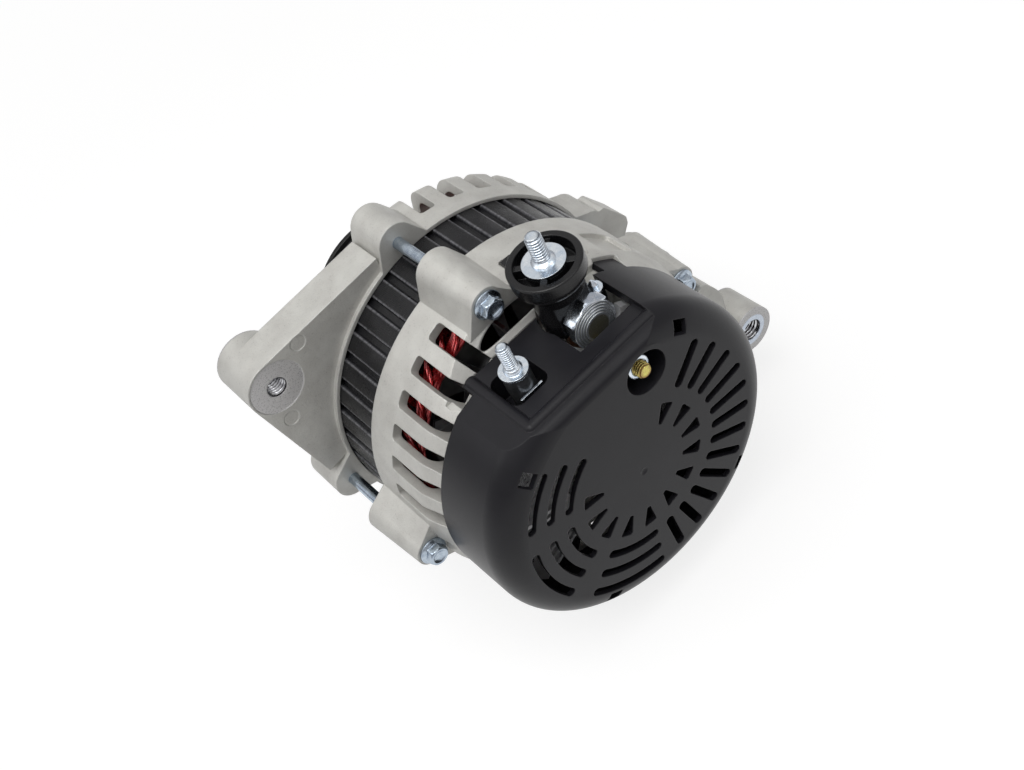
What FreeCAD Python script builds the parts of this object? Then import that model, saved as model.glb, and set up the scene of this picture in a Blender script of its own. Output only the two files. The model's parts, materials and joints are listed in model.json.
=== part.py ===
import FreeCAD, Part
import math
import os

# Alternator for a ribbed belt: two cast brackets clamp a laminated stator, a claw-pole rotor
# turns inside on two ball bearings, and a moulded rear cover closes the rectifier chamber.
# Millimetres. +Y runs along the shaft from the pulley to the rear cover, +Z along the output
# stud, +X towards the adjuster ear. The origin is the belt centre on the shaft axis.
# Angles round the shaft are measured from +Z towards +X.

Vector = FreeCAD.Vector
ORIGIN = Vector(0, 0, 0)
SHAFT_AXIS = Vector(0, 1, 0)

# Running and seating clearances
seat_gap = 0.15
running_gap = 0.08
air_gap = 0.5

# Pulley and its fixing
pulley_diameter = 68.0
rib_pitch = 3.56
rib_count = 6
rib_depth = 2.9
rib_tip_width = 0.7
pulley_flange_width = 1.32
pulley_recess_radius = 24.0
pulley_recess_depth = 10.0
pulley_rim_wall = 5.0
nut_across_flats = 24.0
nut_height = 9.0
lock_washer_thickness = 1.5
lock_washer_radius = 13.0
spacer_length = 7.0
spacer_radius = 12.0

# Shaft
shaft_thread_radius = 8.0
shaft_drive_radius = 8.5
shaft_collar_radius = 11.5
shaft_core_radius = 9.5
shaft_rear_radius = 7.5
shaft_tail_radius = 4.6
shaft_nose_length = 2.0
shaft_key_flats = 8.0
shaft_key_depth = 8.0

# Front bearing, 17 x 47 x 14
front_bearing_radius = 23.5
front_bearing_width = 14.0
front_ball_radius = 4.366
front_ball_count = 7

# Rear bearing, 15 x 35 x 11
rear_bearing_radius = 17.5
rear_bearing_width = 11.0
rear_ball_radius = 2.976
rear_ball_count = 8
race_groove_play = 0.07
seal_thickness = 1.0

# Brackets
bracket_lip = 1.8
bracket_wall = 4.2
shoulder_radius = 8.0
front_bracket_depth = 29.2
rear_bracket_depth = 42.2
bearing_to_web = 11.0
front_web_thickness = 5.5
rear_web_thickness = 6.5
bearing_lip = 1.5
front_hub_wall = 8.0
rear_hub_wall = 5.0
core_register = 5.0
cover_ledge_lap = 0.8
cover_ledge_length = 10.0
cover_spigot_height = 2.0

# Vent windows round both brackets
window_angle_step = 11.7
window_count = 6
window_width = 7.4
window_middle_angle = 48.6
window_corner = 1.6
front_window_rim = 9.4
rear_window_rim = 13.8
rear_window_length = 28.4
window_depth = 12.1
pocket_angles = (-27.0, -47.0, -66.0)
pocket_width = 17.0
pocket_depth = 2.2
pocket_length = 18.0
pocket_margin = 12.0

# Vent openings in the two end webs
web_vent_count = 12
web_vent_inner = 38.5
web_vent_outer = 53.0
web_vent_arc = 17.0
rear_vent_inner = 26.0
rear_vent_outer = 44.0
rear_vent_count = 8
rear_vent_arc = 26.0

# Through bolts
bolt_gap = 6.5
first_bolt_angle = 4.6
bolt_count = 4
pivot_bolt_angle = 275.8
pivot_bolt_gap = 3.3
bolt_radius = 2.5
bolt_hole_radius = 2.75
bolt_boss_radius = 8.5
rear_boss_root_radius = 9.0
rear_boss_seat_radius = 6.9
bolt_boss_flank = 13.0
bolt_head_flats = 8.0
bolt_flange_radius = 5.9
bolt_flange_height = 1.4
bolt_head_height = 5.2
bolt_thread_depth = 18.0
front_boss_length = 22.0
rear_boss_length = 30.8

# Adjuster ear on the front bracket
adjuster_x = 75.5
adjuster_z = 58.7
adjuster_boss_radius = 12.5
adjuster_boss_length = 24.0
adjuster_hole_radius = 4.25
adjuster_web_thickness = 16.5
adjuster_face_setback = 1.7
adjuster_top_z = 74.0
adjuster_skin = 6.0
spot_face_radius = 11.7
spot_face_depth = 0.3
ejector_mark_radius = 3.4
ejector_mark_depth = 0.3

# Pivot ears on both brackets
pivot_x = -92.6
pivot_z = -44.0
pivot_boss_radius = 11.0
pivot_hole_radius = 5.1
pivot_bush_wall = 2.4
pivot_bush_length = 24.0
front_pivot_length = 22.0
rear_pivot_length = 20.0
rear_pivot_setback = 5.9
front_lug_length = 14.0

# Stator
core_radius = 67.8
core_bore_radius = 50.0
exposed_core_length = 24.5
slot_count = 36
slot_mouth = 2.4
slot_mouth_height = 1.3
slot_width = 5.0
core_back = 5.3
groove_width = 3.3
groove_depth = 1.5
groove_round = 0.7
groove_angle_offset = 4.1
winding_play = 0.25
end_turn_height = 15.5
end_turn_round = 4.0
lead_radius = 1.1
lead_reach = 5.0
lead_angles = (100.0, 112.0, 124.0)
lead_circle = 57.0

# Rotor
claw_count = 6
claw_base_gap = 9.5
claw_tip_gap = 20.0
claw_length = 42.0
claw_tip_thickness = 4.1
claw_root_thickness = 9.6
pole_disc_thickness = 12.0
pole_core_radius = 24.0
valley_radius = 33.0
rotor_length = 44.0
bobbin_wall = 1.2
bobbin_radius = 39.0
fan_sheet = 1.2
fan_blade_height = 9.6
fan_inner_radius = 26.0
fan_bore_gap = 2.5
fan_disc_radius = 30.0
front_blade_count = 9
rear_blade_count = 11
blade_curve = 30.0

# Slip rings and brushes
slip_ring_radius = 7.3
slip_ring_width = 6.2
slip_ring_gap = 2.0
slip_ring_bore = 6.2
slip_hub_length = 24.0
brush_width = 6.4
brush_thickness = 4.6
brush_length = 13.0
brush_holder_wall = 2.2
spring_radius = 1.8
spring_wire = 0.7
spring_turns = 5
spring_space = 12.0

# Rear cover
cover_step = 2.2
cover_draft = 0.3
cover_depth = 36.1
cover_round = 11.5
cover_wall = 2.2
shelf_height = 57.0
shelf_wall_x = -31.0
shelf_round = 4.5
shelf_bead_radius = 2.6
shelf_bead_sink = 1.1
shelf_bead_x = 27.7
shelf_bead_setback = 7.5
shelf_bevel_x = 30.5
shelf_bevel_angle = 16.5
side_tongue = 7.4
side_tongue_span = (-42.0, -32.5)
shelf_tongue = 5.9
shelf_tongue_width = 39.0
shelf_tongue_left = -8.0
slope_run = 8.2
slope_drop = 1.0
slope_foot_step = 0.3
slope_half_width = 40.0
face_dimple = 0.8

# Air slots in the cover face
radial_slot_inner = 35.2
radial_slot_rim = 12.4
radial_slot_width = 3.9
radial_slot_count = 12
radial_slot_first = -47.8
radial_slot_step = -11.88
wedge_slot_inner = 20.0
wedge_slot_outer = 29.3
wedge_slot_width = 6.4
wedge_slot_count = 11
wedge_slot_first = -43.5
wedge_slot_step = -25.0
arc_slot_width = 3.7
arc_slot_radii = (53.9, 45.3, 36.7)
arc_slot_starts = (39.0, 34.7, 30.0)
arc_slot_spans = ((39.0, 67.4), (78.6, 117.4), (130.4, 171.3))
snap_window_angles = (-38.0, 42.3, 145.0, -138.0)
snap_window_inner = 57.1
snap_window_length = 5.4
snap_window_width = 6.2

# Cover stud well
well_x = -17.3
well_z = 43.1
well_radius = 9.2
well_wall = 2.2
well_depth = 12.0
well_collar_height = 0.8
well_collar_round = 0.6
cover_stud_setback = 0.2
cover_stud_radius = 2.5
cover_nut_flats = 8.0
cover_nut_height = 4.2
cover_nut_flange_radius = 5.0
cover_nut_flange_height = 1.2
cover_washer_radius = 5.6
cover_washer_thickness = 1.0

# Output terminal
output_x = -15.5
output_y_from_face = 35.0
output_stud_radius = 3.0
output_stud_top = 97.0
output_shank_radius = 2.7
thread_relief = 0.3
stud_chamfer = 0.8
output_washer_radius = 8.3
output_washer_thickness = 1.6
output_washer_top = 84.0
cup_radius = 14.4
cup_top = 84.0
cup_flange_height = 10.0
cup_recess_radius = 11.6
cup_recess_depth = 6.0
cup_neck_radius = 10.4
cup_rib_count = 4
cup_rib_width = 2.6
cup_foot = 53.0
cup_tab_width = 4.5
cup_tab_reach = 17.4
stud_head_size = 9.0
stud_head_thickness = 4.0
terminal_bar_thickness = 2.0
terminal_bar_width = 15.0
terminal_bar_gap = 0.2
terminal_tab_width = 6.0
terminal_tab_foot = 38.0
notch_radius = 11.6
notch_left = -30.98
notch_right = -4.9
notch_rear_from_face = 16.0
head_across_flats = 19.0
head_thickness = 5.8
head_x = -17.3
head_z = 57.2
head_y_from_face = 28.2
head_washer_radius = 10.8
head_washer_thickness = 1.0
head_washer_gap = 0.4
head_shank_radius = 4.0
head_shank_length = 2.8
neck_flat_top = 69.0
post_x = -27.4
post_y_from_face = 31.9
post_radius = 3.4
post_rise = 1.0
post_pin_radius = 1.8
post_pin_length = 4.9
post_ring_radius = 3.4
post_ring_thickness = 1.1

# Signal terminal
signal_x = 17.0
signal_y_from_face = 24.8
signal_stud_radius = 2.5
signal_stud_top = 78.0
signal_shank_radius = 2.2
signal_sleeve_radius = 5.4
signal_sleeve_top = 64.0
signal_washer_radius = 5.7
signal_washer_thickness = 1.2
signal_pocket_half_width = 8.5
signal_pocket_front = 1.5
signal_pocket_rear = 7.8
signal_pocket_corner = 4.0
signal_pocket_depth = 13.0
signal_pocket_wall = 1.5
signal_head_radius = 4.5
signal_head_thickness = 3.5
blade_width = 10.3
blade_thickness = 0.8
blade_setback = 5.6
blade_root = 2.5

# Rectifier, regulator and small screws
rectifier_inner = 24.0
rectifier_outer = 61.0
negative_span = (20.0, 150.0)
positive_span = (-35.0, 128.0)
block_span = (28.0, 145.0)
block_inner = 31.0
block_outer = 59.5
plate_thickness = 3.5
plate_spacing = 9.6
diode_radius = 6.35
diode_height = 6.5
diode_lead_radius = 0.7
diode_lead_length = 3.0
diode_circle = 44.0
diode_room = 7.2
negative_diode_angles = (50.0, 84.0, 132.0)
positive_diode_angles = (58.0, 94.0, 118.0)
fin_height = 9.0
fin_thickness = 1.5
fin_pitch_angle = 5.2
fin_count = 8
fin_first_angle = 79.0
fin_inner = 34.5
fin_outer = 48.5
rectifier_screw_angles = (40.0, 68.0, 106.0)
rectifier_screw_circle = 54.5
terminal_room = 0.8
regulator_span = (-150.0, -75.0)
regulator_inner = 26.0
regulator_outer = 58.0
regulator_height = 20.0
screw_radius = 2.0
screw_head_radius = 3.8
screw_head_height = 2.4
screw_thread_depth = 5.5
retainer_rim = 9.5
retainer_thickness = 2.0
retainer_screw_gap = 4.1

# Stations along the shaft, chained from the belt centre plane
pulley_half_width = rib_count * rib_pitch / 2 + pulley_flange_width
front_bearing_y = pulley_half_width + spacer_length
front_web_y = front_bearing_y + bearing_to_web
front_joint_y = front_web_y + front_bracket_depth
rear_joint_y = front_joint_y + exposed_core_length
core_front_y = front_joint_y - core_register
core_rear_y = rear_joint_y + core_register
core_middle_y = (core_front_y + core_rear_y) / 2
cover_rim_y = rear_joint_y + rear_bracket_depth
cover_face_y = cover_rim_y + cover_depth
rear_web_y = cover_rim_y - 1.4
pole_front_y = core_middle_y - rotor_length / 2
pole_rear_y = core_middle_y + rotor_length / 2
rear_bearing_y = rear_web_y - rear_web_thickness - rear_bearing_width
tail_front_y = rear_bearing_y + rear_bearing_width
slip_hub_y = rear_web_y - 3.0
front_pitch_radius = (front_bearing_radius + shaft_drive_radius) / 2
rear_pitch_radius = (rear_bearing_radius + shaft_rear_radius) / 2
retainer_radius = front_bearing_radius + retainer_rim
retainer_screw_circle = front_bearing_radius + retainer_screw_gap
fan_outer_radius = core_bore_radius - fan_bore_gap
post_top = shelf_height + post_rise
post_pin_top = post_top + post_pin_length
bracket_radius = core_radius + bracket_lip
bracket_inner = bracket_radius - bracket_wall
window_depth_radius = bracket_radius - window_depth
bolt_circle_radius = core_radius + bolt_gap
slot_bottom_radius = core_radius - core_back
cover_rim_radius = bracket_radius - cover_step
cover_face_radius = cover_rim_radius - cover_draft
cover_ledge_radius = cover_rim_radius - cover_ledge_lap
radial_slot_outer = cover_rim_radius - radial_slot_rim
negative_plate_y = rear_web_y
block_y = negative_plate_y + plate_thickness
positive_plate_y = block_y + plate_spacing
positive_rear_y = positive_plate_y + plate_thickness
output_y = cover_face_y - output_y_from_face
signal_y = cover_face_y - signal_y_from_face
head_y = cover_face_y - head_y_from_face
post_y = cover_face_y - post_y_from_face
blade_y = signal_y + blade_setback
shelf_underside = shelf_height - cover_wall
bar_bottom = cup_foot - terminal_bar_thickness
terminal_bar_end = head_y - terminal_bar_gap
signal_floor = shelf_height - signal_pocket_depth
signal_head_top = signal_floor - signal_pocket_wall
brush_face = slip_ring_radius + running_gap
brush_back = brush_face + brush_length
brush_slot_end = brush_back + spring_space


def polar(radius, angle, y=0.0):
    turn = math.radians(angle)
    return Vector(radius * math.sin(turn), y, radius * math.cos(turn))


def turned(shape, angle):
    # A copy of the shape turned about the shaft from +Z towards +X.
    copy = shape.copy()
    copy.rotate(ORIGIN, SHAFT_AXIS, angle)
    return copy


def rounded_wire(corners, place):
    # A closed outline through (u, v, radius) corners; place turns a flat point into space.
    flat = [Vector(u, v, 0) for u, v, radius in corners]
    count = len(corners)
    bends = []
    for index, (u, v, radius) in enumerate(corners):
        here = flat[index]
        if radius <= 0:
            bends.append((here, None, here))
            continue
        back = (flat[index - 1] - here).normalize()
        ahead = (flat[(index + 1) % count] - here).normalize()
        half_angle = back.getAngle(ahead) / 2
        reach = radius / math.tan(half_angle)
        bisector = (back + ahead).normalize()
        middle = here + bisector * (radius / math.sin(half_angle) - radius)
        bends.append((here + back * reach, middle, here + ahead * reach))
    edges = []
    for index, (start, middle, stop) in enumerate(bends):
        if middle is not None:
            edges.append(Part.Arc(place(start), place(middle), place(stop)).toShape())
        following = bends[(index + 1) % count][0]
        if (following - stop).Length > 1e-6:
            edges.append(Part.LineSegment(place(stop), place(following)).toShape())
    return Part.Wire(edges)


def with_radius(points, radius=0.0):
    return [point if len(point) == 3 else (point[0], point[1], radius) for point in points]


def lathe(points):
    # A solid of revolution about the shaft from (radius, y[, corner radius]) points.
    wire = rounded_wire(with_radius(points), lambda p: Vector(p.x, p.y, 0))
    return Part.Face(wire).revolve(ORIGIN, SHAFT_AXIS, 360)


def ring(outer, inner, y_start, y_stop):
    return lathe([(inner, y_start), (outer, y_start), (outer, y_stop), (inner, y_stop)])


def rod_y(x, z, radius, y_start, y_stop):
    return Part.makeCylinder(radius, y_stop - y_start, Vector(x, y_start, z), SHAFT_AXIS)


def rod_z(x, y, radius, z_start, z_stop):
    return Part.makeCylinder(radius, z_stop - z_start, Vector(x, y, z_start), Vector(0, 0, 1))


def lathe_z(x, y, points):
    # A solid of revolution about a line along Z through (x, y), from (radius, z[, corner radius]) points.
    wire = rounded_wire(with_radius(points), lambda p: Vector(x + p.x, y, p.y))
    return Part.Face(wire).revolve(Vector(x, y, 0), Vector(0, 0, 1), 360)


def plate_z(points, z_start, z_stop):
    # A block with an outline of (x, y[, corner radius]) points, square to the output stud.
    wire = rounded_wire(with_radius(points), lambda p: Vector(p.x, p.y, z_start))
    return Part.Face(wire).extrude(Vector(0, 0, z_stop - z_start))


def plate_y(points, y_start, y_stop):
    # A plate with an outline of (x, z[, corner radius]) points, square to the shaft.
    wire = rounded_wire(with_radius(points), lambda p: Vector(p.x, y_start, p.y))
    return Part.Face(wire).extrude(Vector(0, y_stop - y_start, 0))


def radial_tool(points, inner, outer, angle):
    # A prism that points away from the shaft, with an outline of (across, y[, radius]) points.
    wire = rounded_wire(with_radius(points), lambda p: Vector(p.x, p.y, inner))
    return turned(Part.Face(wire).extrude(Vector(0, 0, outer - inner)), angle)


def box(x_range, y_range, z_range):
    size = [span[1] - span[0] for span in (x_range, y_range, z_range)]
    return Part.makeBox(size[0], size[1], size[2], Vector(x_range[0], y_range[0], z_range[0]))


def hexagon_y(x, z, flats, y_start, y_stop, turn=0.0):
    radius = flats / math.sqrt(3)
    points = []
    for index in range(6):
        corner = polar(radius, turn + 60 * index)
        points.append((x + corner.x, z + corner.z))
    return plate_y(points, y_start, y_stop)


def sector_plate(inner, outer, span, y_start, y_stop):
    # A flat plate between two radii and two angles round the shaft.
    first, last = span
    middle = (first + last) / 2
    outer_arc = [polar(outer, angle, y_start) for angle in (first, middle, last)]
    inner_arc = [polar(inner, angle, y_start) for angle in (last, middle, first)]
    wire = Part.Wire([
        Part.Arc(outer_arc[0], outer_arc[1], outer_arc[2]).toShape(),
        Part.LineSegment(outer_arc[2], inner_arc[0]).toShape(),
        Part.Arc(inner_arc[0], inner_arc[1], inner_arc[2]).toShape(),
        Part.LineSegment(inner_arc[2], outer_arc[0]).toShape(),
    ])
    return Part.Face(wire).extrude(Vector(0, y_stop - y_start, 0))


def arc_slot(radius, width, span, y_start, y_stop):
    # A slot with round ends that follows a circle round the shaft.
    slot = sector_plate(radius - width / 2, radius + width / 2, span, y_start, y_stop)
    for angle in span:
        end = polar(radius, angle)
        slot = slot.fuse(rod_y(end.x, end.z, width / 2, y_start, y_stop))
    return slot


def bolt_spots():
    # The (angle, radius) of each through bolt; the one beside the pivot arm sits closer in.
    spots = [(first_bolt_angle + 360.0 / bolt_count * index, bolt_circle_radius) for index in range(bolt_count - 1)]
    return spots + [(pivot_bolt_angle, core_radius + pivot_bolt_gap)]


def bolt_centres():
    return [polar(radius, angle) for angle, radius in bolt_spots()]


def window_angles():
    # Six windows between each pair of bolt bosses.
    middle = (window_count - 1) / 2
    first = [window_middle_angle + window_angle_step * (index - middle) for index in range(window_count)]
    return [angle + 360.0 / bolt_count * quarter for quarter in range(bolt_count) for angle in first]


def boss_flank(centre_z, side, y):
    # The outline of a boss's sides, from the bracket's barrel up to the round top.
    root_z = bracket_inner + 1.0
    shoulder_z = centre_z + side * 0.36
    corners = [(-bolt_boss_flank, root_z), (bolt_boss_flank, root_z), (side, shoulder_z), (-side, shoulder_z)]
    return rounded_wire(with_radius(corners), lambda p: Vector(p.x, y, p.y))


def front_boss(angle, centre_z, y_start, y_stop):
    # A round boss on the bolt line with flanks that run into the bracket's barrel.
    boss = rod_y(0, centre_z, bolt_boss_radius, y_start, y_stop)
    rim = [edge for edge in boss.Edges if abs(edge.CenterOfMass.y - y_start) < 0.01]
    boss = boss.makeFillet(3.0, rim[:1])
    flank = Part.Face(boss_flank(centre_z, bolt_boss_radius * 0.94, y_start + 2.0))
    return turned(boss.fuse(flank.extrude(Vector(0, y_stop - y_start - 2.0, 0))), angle)


def rear_boss(angle, centre_z, y_start, y_stop):
    # A boss that tapers from the joint to the bolt head's seat, with tapered flanks.
    boss = Part.makeCone(rear_boss_root_radius, rear_boss_seat_radius, y_stop - y_start,
                         Vector(0, y_start, centre_z), SHAFT_AXIS)
    near = boss_flank(centre_z, rear_boss_root_radius * 0.94, y_start)
    far = boss_flank(centre_z, rear_boss_seat_radius * 0.94, y_stop)
    return turned(boss.fuse(Part.makeLoft([near, far], True, True)), angle)


def touch(point, centre, radius, side):
    # Where the line from a flat point touches a circle, on the chosen side of it.
    across = (point[0] - centre[0], point[1] - centre[1])
    distance = math.hypot(across[0], across[1])
    turn = math.atan2(across[1], across[0]) + side * math.acos(radius / distance)
    return (centre[0] + radius * math.cos(turn), centre[1] + radius * math.sin(turn))


def adjuster_outline(inset):
    # The triangular web of the adjuster ear, inset from its edge; two sides touch the ear's boss.
    lower = polar(bolt_circle_radius, first_bolt_angle + 90.0)
    centre = (adjuster_x, adjuster_z)
    upper_end = (16.0 + inset, adjuster_top_z - inset)
    lower_end = (lower.x + 5.5 - inset, lower.z + 11.4 + inset)
    upper_touch = touch(upper_end, centre, adjuster_boss_radius - inset, -1)
    lower_touch = touch(lower_end, centre, adjuster_boss_radius - inset, 1)
    return [upper_end, upper_touch, lower_touch, lower_end, (40.0 + inset, 8.0), (20.0, 40.0 + inset)]


def front_bracket():
    web_inner_y = front_web_y + front_web_thickness
    hub_radius = front_bearing_radius + front_hub_wall
    hub_rear_y = front_bearing_y + front_bearing_width
    shell = lathe([
        (front_bearing_radius - 4.5, front_bearing_y - bearing_lip),
        (hub_radius, front_bearing_y - bearing_lip, 1.5),
        (hub_radius, front_web_y, 3),
        (bracket_radius, front_web_y, shoulder_radius),
        (bracket_radius, front_joint_y),
        (core_radius + seat_gap, front_joint_y),
        (core_radius + seat_gap, core_front_y),
        (bracket_inner, core_front_y),
        (bracket_inner, web_inner_y, 5),
        (retainer_radius + 2.0, web_inner_y),
        (retainer_radius + 2.0, hub_rear_y),
        (front_bearing_radius, hub_rear_y),
        (front_bearing_radius, front_bearing_y),
        (front_bearing_radius - 4.5, front_bearing_y),
    ])
    boss_start = front_joint_y - front_boss_length
    additions = [front_boss(angle, radius, boss_start, front_joint_y) for angle, radius in bolt_spots()]
    additions.append(plate_y([(-66.0, 12.0), (-81.0, 11.2, 2.0), (-89.6, -2.6, 2.5), (-89.2, -6.4, 1.5),
                              (-84.0, -13.0), (-66.0, -13.0)], front_joint_y - front_lug_length, front_joint_y))
    face_y = front_joint_y - adjuster_face_setback
    additions.append(plate_y(adjuster_outline(0.0), face_y - adjuster_web_thickness, face_y))
    additions.append(rod_y(adjuster_x, adjuster_z, adjuster_boss_radius, face_y - adjuster_boss_length, face_y))
    pivot_start = front_joint_y - front_pivot_length
    additions.append(pivot_arm(pivot_start, front_joint_y))
    body = shell.fuse(additions)

    cuts = [rod_y(0, 0, bracket_inner, web_inner_y + 5.0, core_front_y + 0.01)]
    cuts.append(rod_y(0, 0, core_radius + seat_gap, core_front_y, front_joint_y + 1.0))
    pocket_top_y = face_y - adjuster_skin
    pocket = plate_y(adjuster_outline(5.0), face_y - adjuster_web_thickness - 1.0, pocket_top_y)
    keep = rod_y(0, 0, bracket_radius + 3.5, pocket_top_y - 30.0, pocket_top_y)
    keep = keep.fuse(rod_y(adjuster_x, adjuster_z, adjuster_boss_radius, pocket_top_y - 30.0, pocket_top_y))
    for centre in bolt_centres()[:2]:
        keep = keep.fuse(rod_y(centre.x, centre.z, bolt_boss_radius + 1.0, pocket_top_y - 30.0, pocket_top_y))
    cuts.append(pocket.cut(keep))
    cuts.append(rod_y(adjuster_x, adjuster_z, adjuster_hole_radius, face_y - adjuster_boss_length - 1, face_y + 1))
    cuts.append(rod_y(adjuster_x, adjuster_z, spot_face_radius, face_y - spot_face_depth, face_y + 1))
    for mark_x, mark_z in ((59.2, 68.5), (78.4, 41.7)):
        cuts.append(rod_y(mark_x, mark_z, ejector_mark_radius, face_y - ejector_mark_depth, face_y + 1))
    cuts.append(rod_y(pivot_x, pivot_z, pivot_hole_radius, pivot_start - 1, front_joint_y + 1))
    for centre in bolt_centres():
        cuts.append(rod_y(centre.x, centre.z, bolt_radius, front_joint_y - bolt_thread_depth, front_joint_y + 1))
    window_end = front_joint_y - front_window_rim
    half = window_width / 2
    for angle in window_angles():
        outline = [(-half, front_web_y - 1), (half, front_web_y - 1), (half, window_end, window_corner),
                   (-half, window_end, window_corner)]
        cuts.append(radial_tool(outline, window_depth_radius, bracket_radius + 1.5, angle))
    for index in range(web_vent_count):
        middle = 360.0 / web_vent_count * index
        span = (middle - web_vent_arc / 2, middle + web_vent_arc / 2)
        cuts.append(sector_plate(web_vent_inner, web_vent_outer, span, front_web_y - 1, web_inner_y + 1))
    for index in range(4):
        centre = polar(retainer_screw_circle, 45 + 90 * index)
        cuts.append(rod_y(centre.x, centre.z, screw_radius, hub_rear_y - 9.0, hub_rear_y + 0.01))
    return body.cut(cuts)


def pivot_arm(y_start, y_stop):
    # A boss round the pivot bolt and the arm that carries it from the bracket's barrel.
    boss = rod_y(pivot_x, pivot_z, pivot_boss_radius, y_start, y_stop)
    outer_touch = touch((-84.5, -9.0), (pivot_x, pivot_z), pivot_boss_radius, -1)
    arm = plate_y([
        (-68.0, 6.0),
        (-78.0, 2.0, 6.0),
        (-84.5, -9.0, 20.0),
        outer_touch,
        (pivot_x + pivot_boss_radius * 0.55, pivot_z - pivot_boss_radius * 0.83),
        (-bracket_inner * 0.80, -bracket_inner * 0.60),
        (-bracket_inner + 1.0, 0.0),
    ], y_start + 2.0, y_stop)
    return boss.fuse(arm)


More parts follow.
